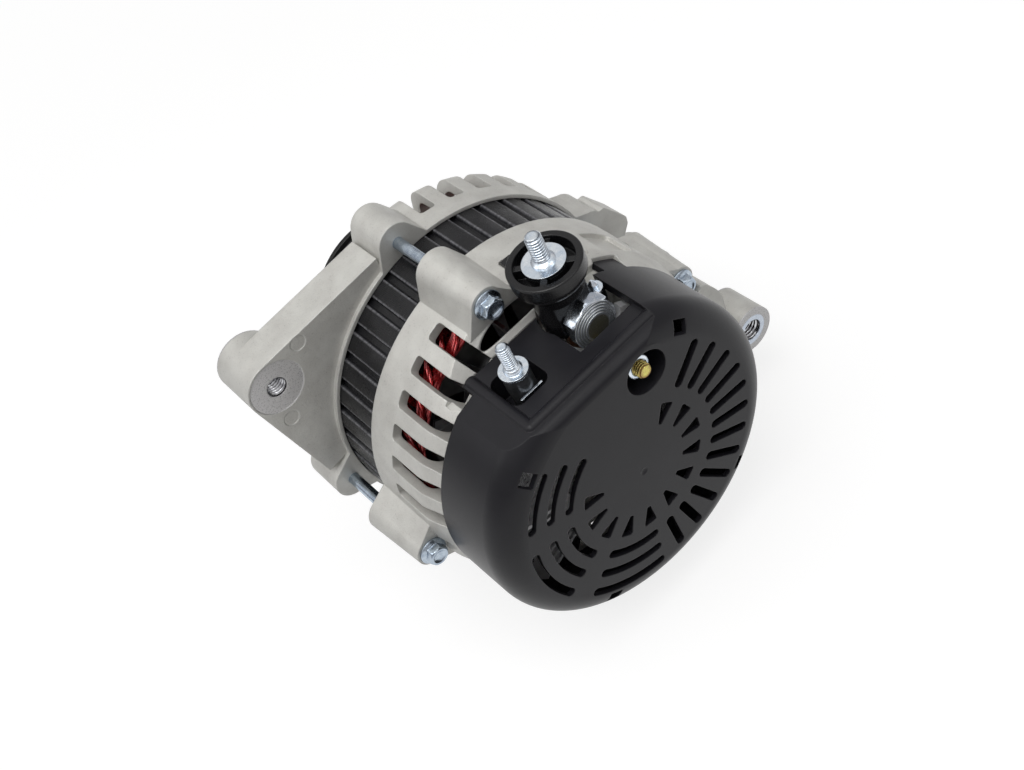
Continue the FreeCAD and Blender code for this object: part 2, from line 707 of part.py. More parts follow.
def rear_bracket():
    web_inner_y = rear_web_y - rear_web_thickness
    hub_radius = rear_bearing_radius + rear_hub_wall
    shell = lathe([
        (core_radius + seat_gap, rear_joint_y),
        (bracket_radius, rear_joint_y),
        (bracket_radius, cover_rim_y - cover_ledge_length, 14),
        (cover_ledge_radius, cover_rim_y),
        (cover_rim_radius - cover_wall - seat_gap, cover_rim_y),
        (cover_rim_radius - cover_wall - seat_gap, cover_rim_y + cover_spigot_height),
        (cover_rim_radius - cover_wall - 3.0, cover_rim_y + cover_spigot_height),
        (cover_rim_radius - cover_wall - 3.0, rear_web_y),
        (shaft_rear_radius + 3.0, rear_web_y),
        (shaft_rear_radius + 3.0, web_inner_y),
        (rear_bearing_radius, web_inner_y),
        (rear_bearing_radius, rear_bearing_y),
        (hub_radius, rear_bearing_y),
        (hub_radius, web_inner_y, 3),
        (bracket_inner, web_inner_y, 5),
        (bracket_inner, core_rear_y),
        (core_radius + seat_gap, core_rear_y),
    ])
    # In front of the shelf the shell falls in a slope, so that the shelf's tongue lies on it.
    slope_y = cover_rim_y - shelf_tongue - seat_gap * 2
    slope_top = bracket_radius - slope_drop
    slope_foot = shelf_height + slope_foot_step
    start_y = slope_y - slope_run
    slope = rounded_wire([(start_y, slope_top, 0), (slope_y, slope_foot, 0), (slope_y, 50.0, 0),
                          (slope_y + 20.0, 50.0, 0), (slope_y + 20.0, 90.0, 0), (start_y, 90.0, 0)],
                         lambda p: Vector(-slope_half_width, p.x, p.y))
    slope_block = Part.Face(slope).extrude(Vector(slope_half_width * 2, 0, 0))
    slope_floor = box((-slope_half_width, slope_half_width), (slope_y - 9.0, slope_y + 30.0),
                      (0.0, shelf_underside - seat_gap * 2))
    shell = shell.cut(slope_block.cut(slope_floor))
    boss_stop = rear_joint_y + rear_boss_length
    additions = [rear_boss(angle, radius, rear_joint_y, boss_stop) for angle, radius in bolt_spots()]
    ear_stop = cover_rim_y - rear_pivot_setback
    additions.append(pivot_arm(ear_stop - rear_pivot_length, ear_stop))
    body = shell.fuse(additions).removeSplitter()

    cuts = [rod_y(0, 0, bracket_inner, core_rear_y - 0.01, web_inner_y - 5.0)]
    cuts.append(rod_y(0, 0, core_radius + seat_gap, rear_joint_y - 1.0, core_rear_y))
    for centre in bolt_centres():
        cuts.append(rod_y(centre.x, centre.z, bolt_hole_radius, rear_joint_y - 1, boss_stop + 1))
        cuts.append(rod_y(centre.x, centre.z, bolt_flange_radius + 1.0, boss_stop, cover_rim_y + 5))
    half = window_width / 2
    window_start = rear_joint_y + rear_window_rim
    pocketed = (min(pocket_angles) - pocket_margin, max(pocket_angles) + pocket_margin)
    for angle in window_angles():
        signed = (angle + 180.0) % 360.0 - 180.0
        if pocketed[0] < signed < pocketed[1]:
            continue
        stop = window_start + rear_window_length
        outline = [(-half, window_start, window_corner), (half, window_start, window_corner),
                   (half, stop), (-half, stop)]
        cuts.append(radial_tool(outline, window_depth_radius, bracket_radius + 1.5, angle))
    for angle in pocket_angles:
        outline = [(-pocket_width / 2, window_start + 2, 2), (pocket_width / 2, window_start + 2, 2),
                   (pocket_width / 2, window_start + pocket_length, 2),
                   (-pocket_width / 2, window_start + pocket_length, 2)]
        cuts.append(radial_tool(outline, bracket_radius - pocket_depth, bracket_radius + 3, angle))
    cuts.append(rod_y(pivot_x, pivot_z, pivot_hole_radius + pivot_bush_wall, ear_stop - rear_pivot_length - 1,
                      ear_stop + 1))
    for index in range(rear_vent_count):
        middle = 360.0 / rear_vent_count * index
        span = (middle - rear_vent_arc / 2, middle + rear_vent_arc / 2)
        cuts.append(sector_plate(rear_vent_inner, rear_vent_outer, span, web_inner_y - 4, rear_web_y + 1))
    for angle in lead_angles:
        centre = polar(lead_circle, angle)
        cuts.append(rod_y(centre.x, centre.z, lead_radius + 1.4, web_inner_y - 1, rear_web_y + 1))
    for angle in rectifier_screw_angles:
        centre = polar(rectifier_screw_circle, angle)
        cuts.append(rod_y(centre.x, centre.z, screw_radius, rear_web_y - screw_thread_depth, rear_web_y + 1))
    cuts.append(rod_y(well_x, well_z, cover_stud_radius, rear_web_y - screw_thread_depth, rear_web_y + 1))
    tongue_span = (side_tongue_span[0] - 0.4, side_tongue_span[1] + 0.4)
    cuts.append(sector_plate(cover_rim_radius - cover_wall - seat_gap, bracket_radius + 2.0, tongue_span,
                             cover_rim_y - side_tongue - seat_gap * 2, cover_rim_y + 0.01))
    cuts.append(box((shelf_bevel_x - 1.0, cover_rim_radius), (cover_rim_y, cover_rim_y + 5.0),
                    (shelf_underside - 8.0, shelf_height)))
    bar_half = terminal_bar_width / 2 + terminal_room
    head_half = stud_head_size / 2 + terminal_room
    cuts.append(rod_z(output_x, output_y, notch_radius, bar_bottom - terminal_room, 90.0))
    cuts.append(box((output_x - bar_half, output_x + bar_half), (rear_web_y - 5.8, rear_web_y + 1),
                    (bar_bottom - terminal_room, shelf_height)))
    cuts.append(box((output_x - head_half, output_x + head_half), (output_y - head_half, rear_web_y + 1),
                    (bar_bottom - stud_head_thickness - terminal_room, bar_bottom)))
    return body.cut(cuts)


def stator_core():
    body = ring(core_radius, core_bore_radius, core_front_y, core_rear_y)
    mouth = slot_mouth / 2
    half = slot_width / 2
    neck = core_bore_radius + slot_mouth_height
    outline = [(-mouth, core_bore_radius - 1), (mouth, core_bore_radius - 1), (mouth, neck), (half, neck + 0.8),
               (half, slot_bottom_radius), (-half, slot_bottom_radius), (-half, neck + 0.8), (-mouth, neck)]
    slot = plate_y(outline, core_front_y - 1, core_rear_y + 1)
    groove = box((-groove_width / 2, groove_width / 2), (core_front_y - 1, core_rear_y + 1),
                 (core_radius - groove_depth, core_radius + 1))
    step = 360.0 / slot_count
    slots = [turned(slot, groove_angle_offset + step * (index + 0.5)) for index in range(slot_count)]
    sharp = [edge for edge in groove.Edges
             if abs(edge.CenterOfMass.z - core_radius + groove_depth) < 0.01 and abs(edge.CenterOfMass.x) > 0.1]
    groove = groove.makeFillet(groove_round, sharp)
    grooves = [turned(groove, groove_angle_offset + step * index) for index in range(slot_count)]
    return body.cut(slots + grooves)


def stator_winding():
    inner = core_bore_radius + slot_mouth_height + 0.8 + winding_play
    outer = slot_bottom_radius - winding_play
    half = slot_width / 2 - winding_play
    round_end = end_turn_round
    front_end = core_front_y - winding_play
    rear_end = core_rear_y + winding_play
    front_turns = lathe([(inner, front_end), (outer, front_end), (outer, front_end - end_turn_height, round_end),
                         (inner, front_end - end_turn_height, round_end)])
    rear_turns = lathe([(inner, rear_end), (inner, rear_end + end_turn_height, round_end),
                        (outer, rear_end + end_turn_height, round_end), (outer, rear_end)])
    step = 360.0 / slot_count
    bars = []
    for index in range(slot_count):
        bar = box((-half, half), (front_end - 0.5, rear_end + 0.5), (inner + 0.3, outer - 0.1))
        bars.append(turned(bar, groove_angle_offset + step * (index + 0.5)))
    return front_turns.fuse([rear_turns] + bars)


def stator_leads():
    start = core_rear_y + winding_play + end_turn_height
    leads = []
    for angle in lead_angles:
        centre = polar(lead_circle, angle)
        leads.append(rod_y(centre.x, centre.z, lead_radius, start, block_y + lead_reach))
    return Part.makeCompound(leads)


def bearing_ring_profile(bore, outer, groove_radius, pitch, y_start, width):
    # The two races of a deep-groove ball bearing, each with its ball groove turned out.
    middle = y_start + width / 2
    half_land = groove_radius * 0.70
    inner_land = pitch - half_land
    outer_land = pitch + half_land
    groove = Part.makeTorus(pitch, groove_radius, Vector(0, middle, 0), SHAFT_AXIS)
    inner_race = ring(inner_land, bore, y_start, y_start + width).cut(groove)
    outer_race = ring(outer, outer_land, y_start, y_start + width).cut(groove)
    return inner_race, outer_race, inner_land, outer_land


def ball_ring(radius, count, pitch, y):
    return [Part.makeSphere(radius, polar(pitch, 360.0 / count * index, y)) for index in range(count)]


def bearing(bore, outer, ball_radius, count, pitch, y_start, width):
    groove_radius = ball_radius + race_groove_play
    inner_race, outer_race, inner_land, outer_land = bearing_ring_profile(bore, outer, groove_radius, pitch,
                                                                        y_start, width)
    middle = y_start + width / 2
    balls = ball_ring(ball_radius, count, pitch, middle)
    cage_half = ball_radius * 0.28
    pockets = []
    for index in range(count):
        pocket = Part.makeCylinder(groove_radius, cage_half * 2 + 4, Vector(0, middle, pitch - cage_half - 2),
                                   Vector(0, 0, 1))
        pockets.append(turned(pocket, 360.0 / count * index))
    cage_reach = min(ball_radius * 1.3, width / 2 - seal_thickness - 0.45)
    cage = ring(pitch + cage_half, pitch - cage_half, middle - cage_reach, middle + cage_reach).cut(pockets)
    seals = []
    for start in (y_start + 0.2, y_start + width - seal_thickness - 0.2):
        seals.append(ring(outer_land, inner_land + running_gap, start, start + seal_thickness))
    return {"inner": inner_race, "outer": outer_race, "balls": Part.makeCompound(balls), "cage": cage,
            "seals": Part.makeCompound(seals)}


def bearing_retainer():
    y_start = front_bearing_y + front_bearing_width
    plate = ring(retainer_radius, front_bearing_radius - 4.5, y_start, y_start + retainer_thickness)
    holes = []
    for index in range(4):
        centre = polar(retainer_screw_circle, 45 + 90 * index)
        holes.append(rod_y(centre.x, centre.z, screw_radius, y_start - 1, y_start + retainer_thickness + 1))
    return plate.cut(holes)


def pan_head_screw(centre, tip_y, seat_y):
    shank = rod_y(centre.x, centre.z, screw_radius, tip_y, seat_y)
    head = rod_y(centre.x, centre.z, screw_head_radius, seat_y, seat_y + screw_head_height)
    socket = hexagon_y(centre.x, centre.z, screw_radius * 1.4, seat_y + 0.9, seat_y + screw_head_height + 1)
    return shank.fuse(head).cut(socket)


def retainer_screws():
    seat = front_bearing_y + front_bearing_width + retainer_thickness
    spots = [polar(retainer_screw_circle, 45 + 90 * index) for index in range(4)]
    return Part.makeCompound([pan_head_screw(spot, seat - retainer_thickness - 8.0, seat) for spot in spots])


def rectifier_screws():
    tip = rear_web_y - screw_thread_depth + 0.5
    spots = [polar(rectifier_screw_circle, angle) for angle in rectifier_screw_angles]
    return Part.makeCompound([pan_head_screw(spot, tip, positive_rear_y) for spot in spots])


def through_bolts():
    seat = rear_joint_y + rear_boss_length
    bolts = []
    for (angle, radius), centre in zip(bolt_spots(), bolt_centres()):
        x, z = centre.x, centre.z
        shank = rod_y(x, z, bolt_radius, front_joint_y - bolt_thread_depth + 2.0, seat)
        flange = rod_y(x, z, bolt_flange_radius, seat, seat + bolt_flange_height)
        head = hexagon_y(x, z, bolt_head_flats, seat + bolt_flange_height, seat + bolt_head_height, angle)
        dish = rod_y(x, z, bolt_head_flats * 0.36, seat + bolt_head_height - 0.8, seat + bolt_head_height + 1)
        bolts.append(shank.fuse([flange, head]).cut(dish))
    return Part.makeCompound(bolts)


def rotor_shaft():
    nose_y = -pulley_half_width + pulley_recess_depth - lock_washer_thickness - nut_height - shaft_nose_length
    thread_stop = -pulley_half_width + pulley_recess_depth
    bearing_stop = front_bearing_y + front_bearing_width
    body = lathe([
        (0, nose_y), (shaft_thread_radius, nose_y, 1), (shaft_thread_radius, thread_stop),
        (shaft_drive_radius, thread_stop), (shaft_drive_radius, bearing_stop),
        (shaft_collar_radius, bearing_stop), (shaft_collar_radius, pole_front_y - fan_sheet),
        (shaft_core_radius, pole_front_y - fan_sheet), (shaft_core_radius, pole_rear_y + fan_sheet),
        (shaft_core_radius - 0.6, pole_rear_y + fan_sheet), (shaft_core_radius - 0.6, rear_bearing_y),
        (shaft_rear_radius, rear_bearing_y), (shaft_rear_radius, tail_front_y),
        (shaft_tail_radius, tail_front_y), (shaft_tail_radius, slip_hub_y + slip_hub_length + 1.0),
        (0, slip_hub_y + slip_hub_length + 1.0),
    ])
    key = hexagon_y(0, 0, shaft_key_flats, nose_y - 1, nose_y + shaft_key_depth)
    return body.cut(key)


def pole_claws():
    # The front pole piece: a disc with a half core and fingers that taper towards the rear.
    outer = core_bore_radius - air_gap
    tip_y = pole_front_y + claw_length
    disc_y = pole_front_y + pole_disc_thickness
    blank = lathe([
        (shaft_core_radius, pole_front_y), (outer, pole_front_y, 3.5), (outer, tip_y),
        (outer - claw_tip_thickness, tip_y), (outer - claw_root_thickness, disc_y, 2),
        (pole_core_radius, disc_y), (pole_core_radius, core_middle_y), (shaft_core_radius, core_middle_y),
    ])
    outline = [(-claw_base_gap, pole_front_y - 1), (claw_base_gap, pole_front_y - 1),
               (claw_tip_gap, tip_y + 1), (-claw_tip_gap, tip_y + 1)]
    step = 360.0 / claw_count
    valleys = [radial_tool(outline, valley_radius, outer + 3, step * (index + 0.5)) for index in range(claw_count)]
    return blank.cut(valleys)


def rear_pole_claws():
    # The same piece turned end for end, with its fingers between the front ones.
    rear = pole_claws()
    rear.rotate(Vector(0, core_middle_y, 0), Vector(0, 0, 1), 180)
    return turned(rear, 180.0 / claw_count)


def coil_bobbin():
    inner = pole_core_radius + 0.1
    disc_y = pole_disc_thickness + 0.2
    start = pole_front_y + disc_y
    stop = pole_rear_y - disc_y
    return lathe([
        (inner, start), (bobbin_radius, start), (bobbin_radius, start + bobbin_wall),
        (inner + bobbin_wall, start + bobbin_wall), (inner + bobbin_wall, stop - bobbin_wall),
        (bobbin_radius, stop - bobbin_wall), (bobbin_radius, stop), (inner, stop),
    ])


def field_coil():
    inner = pole_core_radius + 0.1 + bobbin_wall
    inset = pole_disc_thickness + 0.2 + bobbin_wall
    return ring(bobbin_radius - 0.8, inner, pole_front_y + inset, pole_rear_y - inset)


def fan(blade_count, disc_y, blade_direction):
    # A stamped fan: a thin disc with curved blades bent up at right angles to it.
    far_y = disc_y + fan_sheet * blade_direction
    tip_y = far_y + fan_blade_height * blade_direction
    low, high = min(disc_y, far_y), max(disc_y, far_y)
    disc = ring(fan_disc_radius, shaft_core_radius, low, high)
    blades = []
    lead_angle = blade_curve / (fan_outer_radius - fan_inner_radius)
    middle_radius = (fan_inner_radius + fan_outer_radius) / 2
    thickness_angle = math.degrees(fan_sheet / middle_radius)
    blade_low, blade_high = min(far_y, tip_y), max(far_y, tip_y)
    for index in range(blade_count):
        start = 360.0 / blade_count * index
        root = start - lead_angle * 7
        near = [polar(fan_inner_radius, root), polar(middle_radius, start - 4.0), polar(fan_outer_radius, start)]
        far = [polar(fan_outer_radius, start + thickness_angle * 0.9),
               polar(middle_radius, start - 4.0 + thickness_angle),
               polar(fan_inner_radius, root + thickness_angle * 1.3)]
        front_arc = Part.Arc(near[0], near[1], near[2]).toShape()
        back_arc = Part.Arc(far[0], far[1], far[2]).toShape()
        outline = Part.Wire([front_arc, Part.LineSegment(near[2], far[0]).toShape(), back_arc,
                             Part.LineSegment(far[2], near[0]).toShape()])
        blade = Part.Face(outline).extrude(Vector(0, blade_high - blade_low, 0))
        blade.translate(Vector(0, blade_low, 0))
        foot = sector_plate(fan_disc_radius - 1.5, fan_outer_radius, (start - 7.0, start + 1.2), low, high)
        blades.append(blade)
        blades.append(foot)
    return disc.fuse(blades)


def slip_ring_hub():
    end = slip_hub_y + slip_hub_length
    flange = slip_ring_radius + 0.6
    points = [(shaft_tail_radius, slip_hub_y), (slip_ring_bore, slip_hub_y)]
    for start in slip_ring_y():
        points += [(slip_ring_bore, start - slip_ring_gap), (flange, start - slip_ring_gap), (flange, start),
                   (slip_ring_bore, start)]
    points += [(slip_ring_bore, end), (shaft_tail_radius, end)]
    return lathe(points)


def slip_ring_y():
    first = slip_hub_y + slip_hub_length - 2 * slip_ring_width - slip_ring_gap - 1.5
    return [first, first + slip_ring_width + slip_ring_gap]


def slip_rings():
    rings = [ring(slip_ring_radius, slip_ring_bore, y, y + slip_ring_width) for y in slip_ring_y()]
    return Part.makeCompound(rings)


def shaft_spacer():
    return ring(spacer_radius, shaft_drive_radius, pulley_half_width, front_bearing_y)


def pulley():
    outer = pulley_diameter / 2
    profile = [(shaft_drive_radius, pulley_half_width), (outer, pulley_half_width)]
    top = rib_count * rib_pitch / 2
    flank = (rib_pitch - rib_tip_width) / 2 - 0.25
    for index in range(rib_count):
        start = top - rib_pitch * index
        profile.append((outer, start))
        profile.append((outer - rib_depth, start - flank))
        profile.append((outer - rib_depth, start - flank - 0.5))
        profile.append((outer, start - 2 * flank - 0.5))
    recess_y = -pulley_half_width + pulley_recess_depth
    profile += [(outer, -pulley_half_width), (pulley_recess_radius, -pulley_half_width),
                (pulley_recess_radius, recess_y), (shaft_drive_radius, recess_y)]
    body = lathe(profile)
    web = pulley_half_width - 6.0
    hollow = ring(outer - pulley_rim_wall - 2.9, spacer_radius + 3.0, web, pulley_half_width + 1)
    return body.cut(hollow)


def pulley_washer():
    seat = -pulley_half_width + pulley_recess_depth
    return ring(lock_washer_radius, shaft_thread_radius, seat - lock_washer_thickness, seat)


def pulley_nut():
    stop = -pulley_half_width + pulley_recess_depth - lock_washer_thickness
    nut = hexagon_y(0, 0, nut_across_flats, stop - nut_height, stop)
    chamfer = lathe([(0, stop - nut_height), (nut_across_flats / 2 + 0.1, stop - nut_height),
                     (nut_across_flats / 2 + 2.2, stop - nut_height + 1.4), (nut_across_flats / 2 + 2.2, stop),
                     (0, stop)])
    return nut.common(chamfer).cut(rod_y(0, 0, shaft_thread_radius, stop - nut_height - 1, stop + 1))


def pivot_bush():
    stop = cover_rim_y - rear_pivot_setback
    start = stop - pivot_bush_length
    outer = rod_y(pivot_x, pivot_z, pivot_hole_radius + pivot_bush_wall, start, stop)
    return outer.cut(rod_y(pivot_x, pivot_z, pivot_hole_radius, start - 1, stop + 1))


def shelf_block(inset):
    # The volume that the terminal shelf takes out of the cover: open to +X, +Z and the front.
    rear_y = cover_face_y - inset
    floor_z = shelf_height - inset
    wire = rounded_wire([
        (cover_rim_y - 20.0, floor_z, 0), (rear_y, floor_z, shelf_round - inset), (rear_y, 20.0, 0),
        (rear_y + 60.0, 20.0, 0), (rear_y + 60.0, 200.0, 0), (cover_rim_y - 20.0, 200.0, 0),
    ], lambda p: Vector(shelf_wall_x - inset, p.x, p.y))
    return Part.Face(wire).extrude(Vector(200.0, 0, 0))


def shelf_bevel():
    # The slope from the shelf's left part down to the cover's barrel.
    slope = math.tan(math.radians(shelf_bevel_angle))
    far_x = cover_rim_radius + 10.0
    far_z = shelf_height - (far_x - shelf_bevel_x) * slope
    return plate_y([(shelf_bevel_x, shelf_height), (far_x, far_z), (far_x, cover_rim_radius + 10.0),
                    (shelf_bevel_x, cover_rim_radius + 10.0)], cover_rim_y - 1.0, cover_face_y + 1.0)


def shelf_bead():
    # The rounded bead along the shelf's left and rear edges, sunk into its floor.
    low = shelf_height - shelf_bead_sink
    rear = cover_face_y - shelf_bead_setback
    start = cover_rim_y - shelf_tongue
    along = rod_y(shelf_bead_x, low, shelf_bead_radius, start, rear)
    across = Part.makeCylinder(shelf_bead_radius, shelf_bead_x - shelf_wall_x + 0.5,
                               Vector(shelf_wall_x - 0.5, rear, low), Vector(1, 0, 0))
    corner = Part.makeSphere(shelf_bead_radius, Vector(shelf_bead_x, rear, low))
    above = box((-50.0, 50.0), (start - 1.0, cover_face_y), (shelf_height - cover_wall / 2, shelf_height + 10.0))
    return along.fuse([across, corner]).common(above)


def cover_blank():
    # The moulded shell with its shelf, before any opening is cut.
    outer = lathe([(0, cover_rim_y), (cover_rim_radius, cover_rim_y),
                   (cover_face_radius, cover_face_y, cover_round), (0, cover_face_y)])
    inner = lathe([(0, cover_rim_y - 1), (cover_rim_radius - cover_wall, cover_rim_y - 1),
                   (cover_face_radius - cover_wall, cover_face_y - cover_wall, cover_round - cover_wall),
                   (0, cover_face_y - cover_wall)])
    collar_y = cover_face_y - well_depth - 2.0
    collar = rod_y(well_x, well_z, well_radius + well_wall, collar_y, cover_face_y + well_collar_height)
    rim = [edge for edge in collar.Edges if abs(edge.CenterOfMass.y - cover_face_y - well_collar_height) < 0.01]
    collar = collar.makeFillet(well_collar_round, rim[:1])
    pocket = signal_pocket(signal_pocket_wall)
    shelf_room = shelf_block(0.0).fuse(shelf_bevel())
    lowered_bevel = shelf_bevel()
    lowered_bevel.translate(Vector(0, 0, -cover_wall))
    room = inner.cut([shelf_block(cover_wall), lowered_bevel]).cut([collar, pocket])
    return outer.cut(shelf_room).fuse([collar.cut(shelf_room), pocket]).cut(room)


def slotted(body):
    # Cuts the three families of air slots and the snap windows through the cover's face.
    cuts = []
    top, bottom = cover_face_y + 5, cover_face_y - cover_wall - 1.0
    half = radial_slot_width / 2
    turn = half * 0.98
    slot = plate_y([(-half, radial_slot_inner, turn), (half, radial_slot_inner, turn),
                    (half, radial_slot_outer, turn), (-half, radial_slot_outer, turn)], bottom - 2.0, top)
    for index in range(radial_slot_count):
        cuts.append(turned(slot, radial_slot_first + radial_slot_step * index))
    half = wedge_slot_width / 2
    wedge = plate_y([(-0.8, wedge_slot_inner, 0.5), (0.8, wedge_slot_inner, 0.5),
                     (half, wedge_slot_outer, 0.9), (-half, wedge_slot_outer, 0.9)], bottom, top)
    for index in range(wedge_slot_count):
        cuts.append(turned(wedge, wedge_slot_first + wedge_slot_step * index))
    for group, span in enumerate(arc_slot_spans):
        for radius, first in zip(arc_slot_radii, arc_slot_starts):
            start = first if group == 0 else span[0]
            trim = math.degrees(arc_slot_width / 2 / radius)
            cuts.append(arc_slot(radius, arc_slot_width, (start + trim, span[1] - trim), bottom, top))
    half = snap_window_width / 2
    window = box((-half, half), (cover_face_y - cover_round, top),
                 (snap_window_inner, snap_window_inner + snap_window_length))
    for angle in snap_window_angles:
        cuts.append(turned(window, angle))
    return body.cut(cuts)


def rear_cover():
    tongue = box((shelf_tongue_left, shelf_tongue_left + shelf_tongue_width),
                 (cover_rim_y - shelf_tongue, cover_rim_y), (shelf_underside, shelf_height))
    side = sector_plate(cover_rim_radius - cover_wall, cover_rim_radius, side_tongue_span,
                        cover_rim_y - side_tongue, cover_rim_y + 0.5)
    body = slotted(cover_blank()).fuse([tongue, side, shelf_bead()])
    collar_y = cover_face_y - well_depth - 2.0
    dimple = Part.makeSphere(face_dimple * 4, Vector(0, cover_face_y + face_dimple * 3.4, 0))
    blade_room = terminal_room / 2
    cuts = [
        rod_y(well_x, well_z, well_radius, cover_face_y - well_depth, cover_face_y + 5),
        rod_y(well_x, well_z, cover_stud_radius + seat_gap, collar_y - 1, cover_face_y + 1),
        dimple,
        output_notch(),
        signal_pocket(0.0),
        rod_z(signal_x, signal_y, signal_stud_radius + seat_gap, signal_head_top - 1, shelf_height),
        box((signal_x - blade_width / 2 - blade_room, signal_x + blade_width / 2 + blade_room),
            (blade_y - blade_room, blade_y + blade_thickness + blade_room), (signal_head_top - 1, shelf_height)),
    ]
    return body.cut(cuts)


def output_notch():
    # The gap in the shelf round the output terminal's neck and the bolt head behind it.
    low, high = shelf_underside - 1, shelf_height + 1
    neck = rod_z(output_x, output_y, notch_radius, low, high)
    slot = box((notch_left, notch_right), (output_y - 1.2, cover_face_y - notch_rear_from_face), (low, high))
    return neck.fuse(slot)


def signal_pocket(wall):
    # A round-cornered pocket in the shelf round the signal terminal, grown by a wall on all sides but the top.
    half = signal_pocket_half_width + wall
    front = cover_rim_y + signal_pocket_front - wall
    rear = signal_y + signal_pocket_rear + wall
    corner = signal_pocket_corner + wall
    outline = [(signal_x - half, front, corner), (signal_x + half, front, corner),
               (signal_x + half, rear, corner), (signal_x - half, rear, corner)]
    top = shelf_height if wall > 0 else shelf_height + 1
    return plate_z(outline, signal_floor - wall, top)


def terminal_clearance():
    # The room that the rectifier leaves round the shelf, the signal pocket and the large bolt head.
    pocket_half = signal_pocket_half_width + signal_pocket_wall + terminal_room
    shelf = box((shelf_wall_x - cover_wall - terminal_room, 80.0), (rear_web_y - 1, cover_face_y),
                (shelf_underside - terminal_room, 90.0))
    pocket = box((signal_x - pocket_half, signal_x + pocket_half), (rear_web_y - 1, cover_face_y),
                 (signal_head_top - signal_head_thickness - terminal_room, 90.0))
    head = rod_y(head_x, head_z, head_across_flats / math.sqrt(3) + terminal_room, block_y, cover_face_y)
    return [shelf, pocket, head]


def screw_holes(radius):
    holes = []
    for angle in rectifier_screw_angles:
        centre = polar(rectifier_screw_circle, angle)
        holes.append(rod_y(centre.x, centre.z, radius, rear_web_y - 1, cover_face_y))
    return holes


def at_diodes(angles, radius, y_start, y_stop):
    rods = []
    for angle in angles:
        centre = polar(diode_circle, angle)
        rods.append(rod_y(centre.x, centre.z, radius, y_start, y_stop))
    return rods


def negative_heat_sink():
    plate = sector_plate(rectifier_inner, rectifier_outer, negative_span, negative_plate_y, block_y)
    cuts = terminal_clearance() + screw_holes(screw_radius)
    cuts += at_diodes(negative_diode_angles, diode_radius, rear_web_y - 1, block_y + 1)
    for angle in lead_angles:
        centre = polar(lead_circle, angle)
        cuts.append(rod_y(centre.x, centre.z, lead_radius + 1.4, rear_web_y - 1, block_y + 1))
    return plate.cut(cuts)


def positive_heat_sink():
    plate = sector_plate(rectifier_inner, rectifier_outer, positive_span, positive_plate_y, positive_rear_y)
    fin = box((-fin_thickness / 2, fin_thickness / 2), (positive_rear_y - 0.5, positive_rear_y + fin_height),
              (fin_inner, fin_outer))
    fins = [turned(fin, fin_first_angle + fin_pitch_angle * index) for index in range(fin_count)]
    cuts = terminal_clearance() + screw_holes(screw_radius)
    cuts += at_diodes(positive_diode_angles, diode_radius, rear_web_y, positive_rear_y)
    cuts.append(rod_y(well_x, well_z, cover_stud_radius + terminal_room, rear_web_y, cover_face_y))
    return plate.fuse(fins).cut(cuts)


def terminal_block():
    block = sector_plate(block_inner, block_outer, block_span, block_y, positive_plate_y)
    cuts = terminal_clearance() + screw_holes(screw_radius)
    cuts += at_diodes(negative_diode_angles + positive_diode_angles, diode_room, block_y - 1, positive_plate_y + 1)
    for angle in lead_angles:
        centre = polar(lead_circle, angle)
        cuts.append(rod_y(centre.x, centre.z, lead_radius, block_y - 1, positive_plate_y + 1))
    return block.cut(cuts)


def diodes(angles, base_y, direction):
    # Press-fit diodes: a round body with its lead on the side that faces the other plate.
    bodies = []
    for angle in angles:
        centre = polar(diode_circle, angle)
        body_end = base_y + diode_height * direction
        lead_end = body_end + diode_lead_length * direction
        low, high = min(base_y, body_end), max(base_y, body_end)
        body = rod_y(centre.x, centre.z, diode_radius, low, high)
        low, high = min(body_end, lead_end), max(body_end, lead_end)
        bodies.append(body.fuse(rod_y(centre.x, centre.z, diode_lead_radius, low, high)))
    return Part.makeCompound(bodies)


def regulator():
    case = sector_plate(regulator_inner, regulator_outer, regulator_span, rear_web_y, rear_web_y + regulator_height)
    trough = sector_plate(regulator_inner + 4, regulator_outer - 4, (regulator_span[0] + 6, regulator_span[1] - 6),
                          rear_web_y + regulator_height - 2.0, rear_web_y + regulator_height + 1)
    return case.cut(trough)


def brush_middles():
    return [start + slip_ring_width / 2 for start in slip_ring_y()]


def brush(index):
    middle = brush_middles()[index]
    block = box((-brush_width / 2, brush_width / 2), (middle - brush_thickness / 2, middle + brush_thickness / 2),
                (-brush_back, 0))
    return block.cut(rod_y(0, 0, brush_face, middle - brush_thickness, middle + brush_thickness))


def brush_holder():
    middles = brush_middles()
    wall = brush_thickness / 2 + running_gap + brush_holder_wall
    half = brush_width / 2 + running_gap + brush_holder_wall
    near = slip_ring_radius + 1.3
    case = box((-half, half), (rear_web_y, middles[1] + wall), (-brush_slot_end - brush_holder_wall, -near))
    slots = []
    for middle in middles:
        slots.append(box((-brush_width / 2 - running_gap, brush_width / 2 + running_gap),
                         (middle - brush_thickness / 2 - running_gap, middle + brush_thickness / 2 + running_gap),
                         (-brush_slot_end, 0)))
    return case.cut(slots)


def brush_spring(index):
    # A coil between the end of the brush slot and the back of the brush.
    height = spring_space - spring_wire - 0.1
    path = Part.makeHelix(height / spring_turns, height, spring_radius)
    half = spring_wire / 2
    corners = [Vector(spring_radius + x * half, 0, z * half) for x, z in ((-1, -1), (1, -1), (1, 1), (-1, 1))]
    section = Part.makePolygon(corners + corners[:1])
    coil = Part.Wire(path.Edges).makePipeShell([section], True, True)
    coil.translate(Vector(0, brush_middles()[index], -brush_slot_end + half + 0.05))
    return coil


def cover_stud():
    tip = cover_face_y - cover_stud_setback
    return rod_y(well_x, well_z, cover_stud_radius, rear_web_y - screw_thread_depth + 0.5, tip)


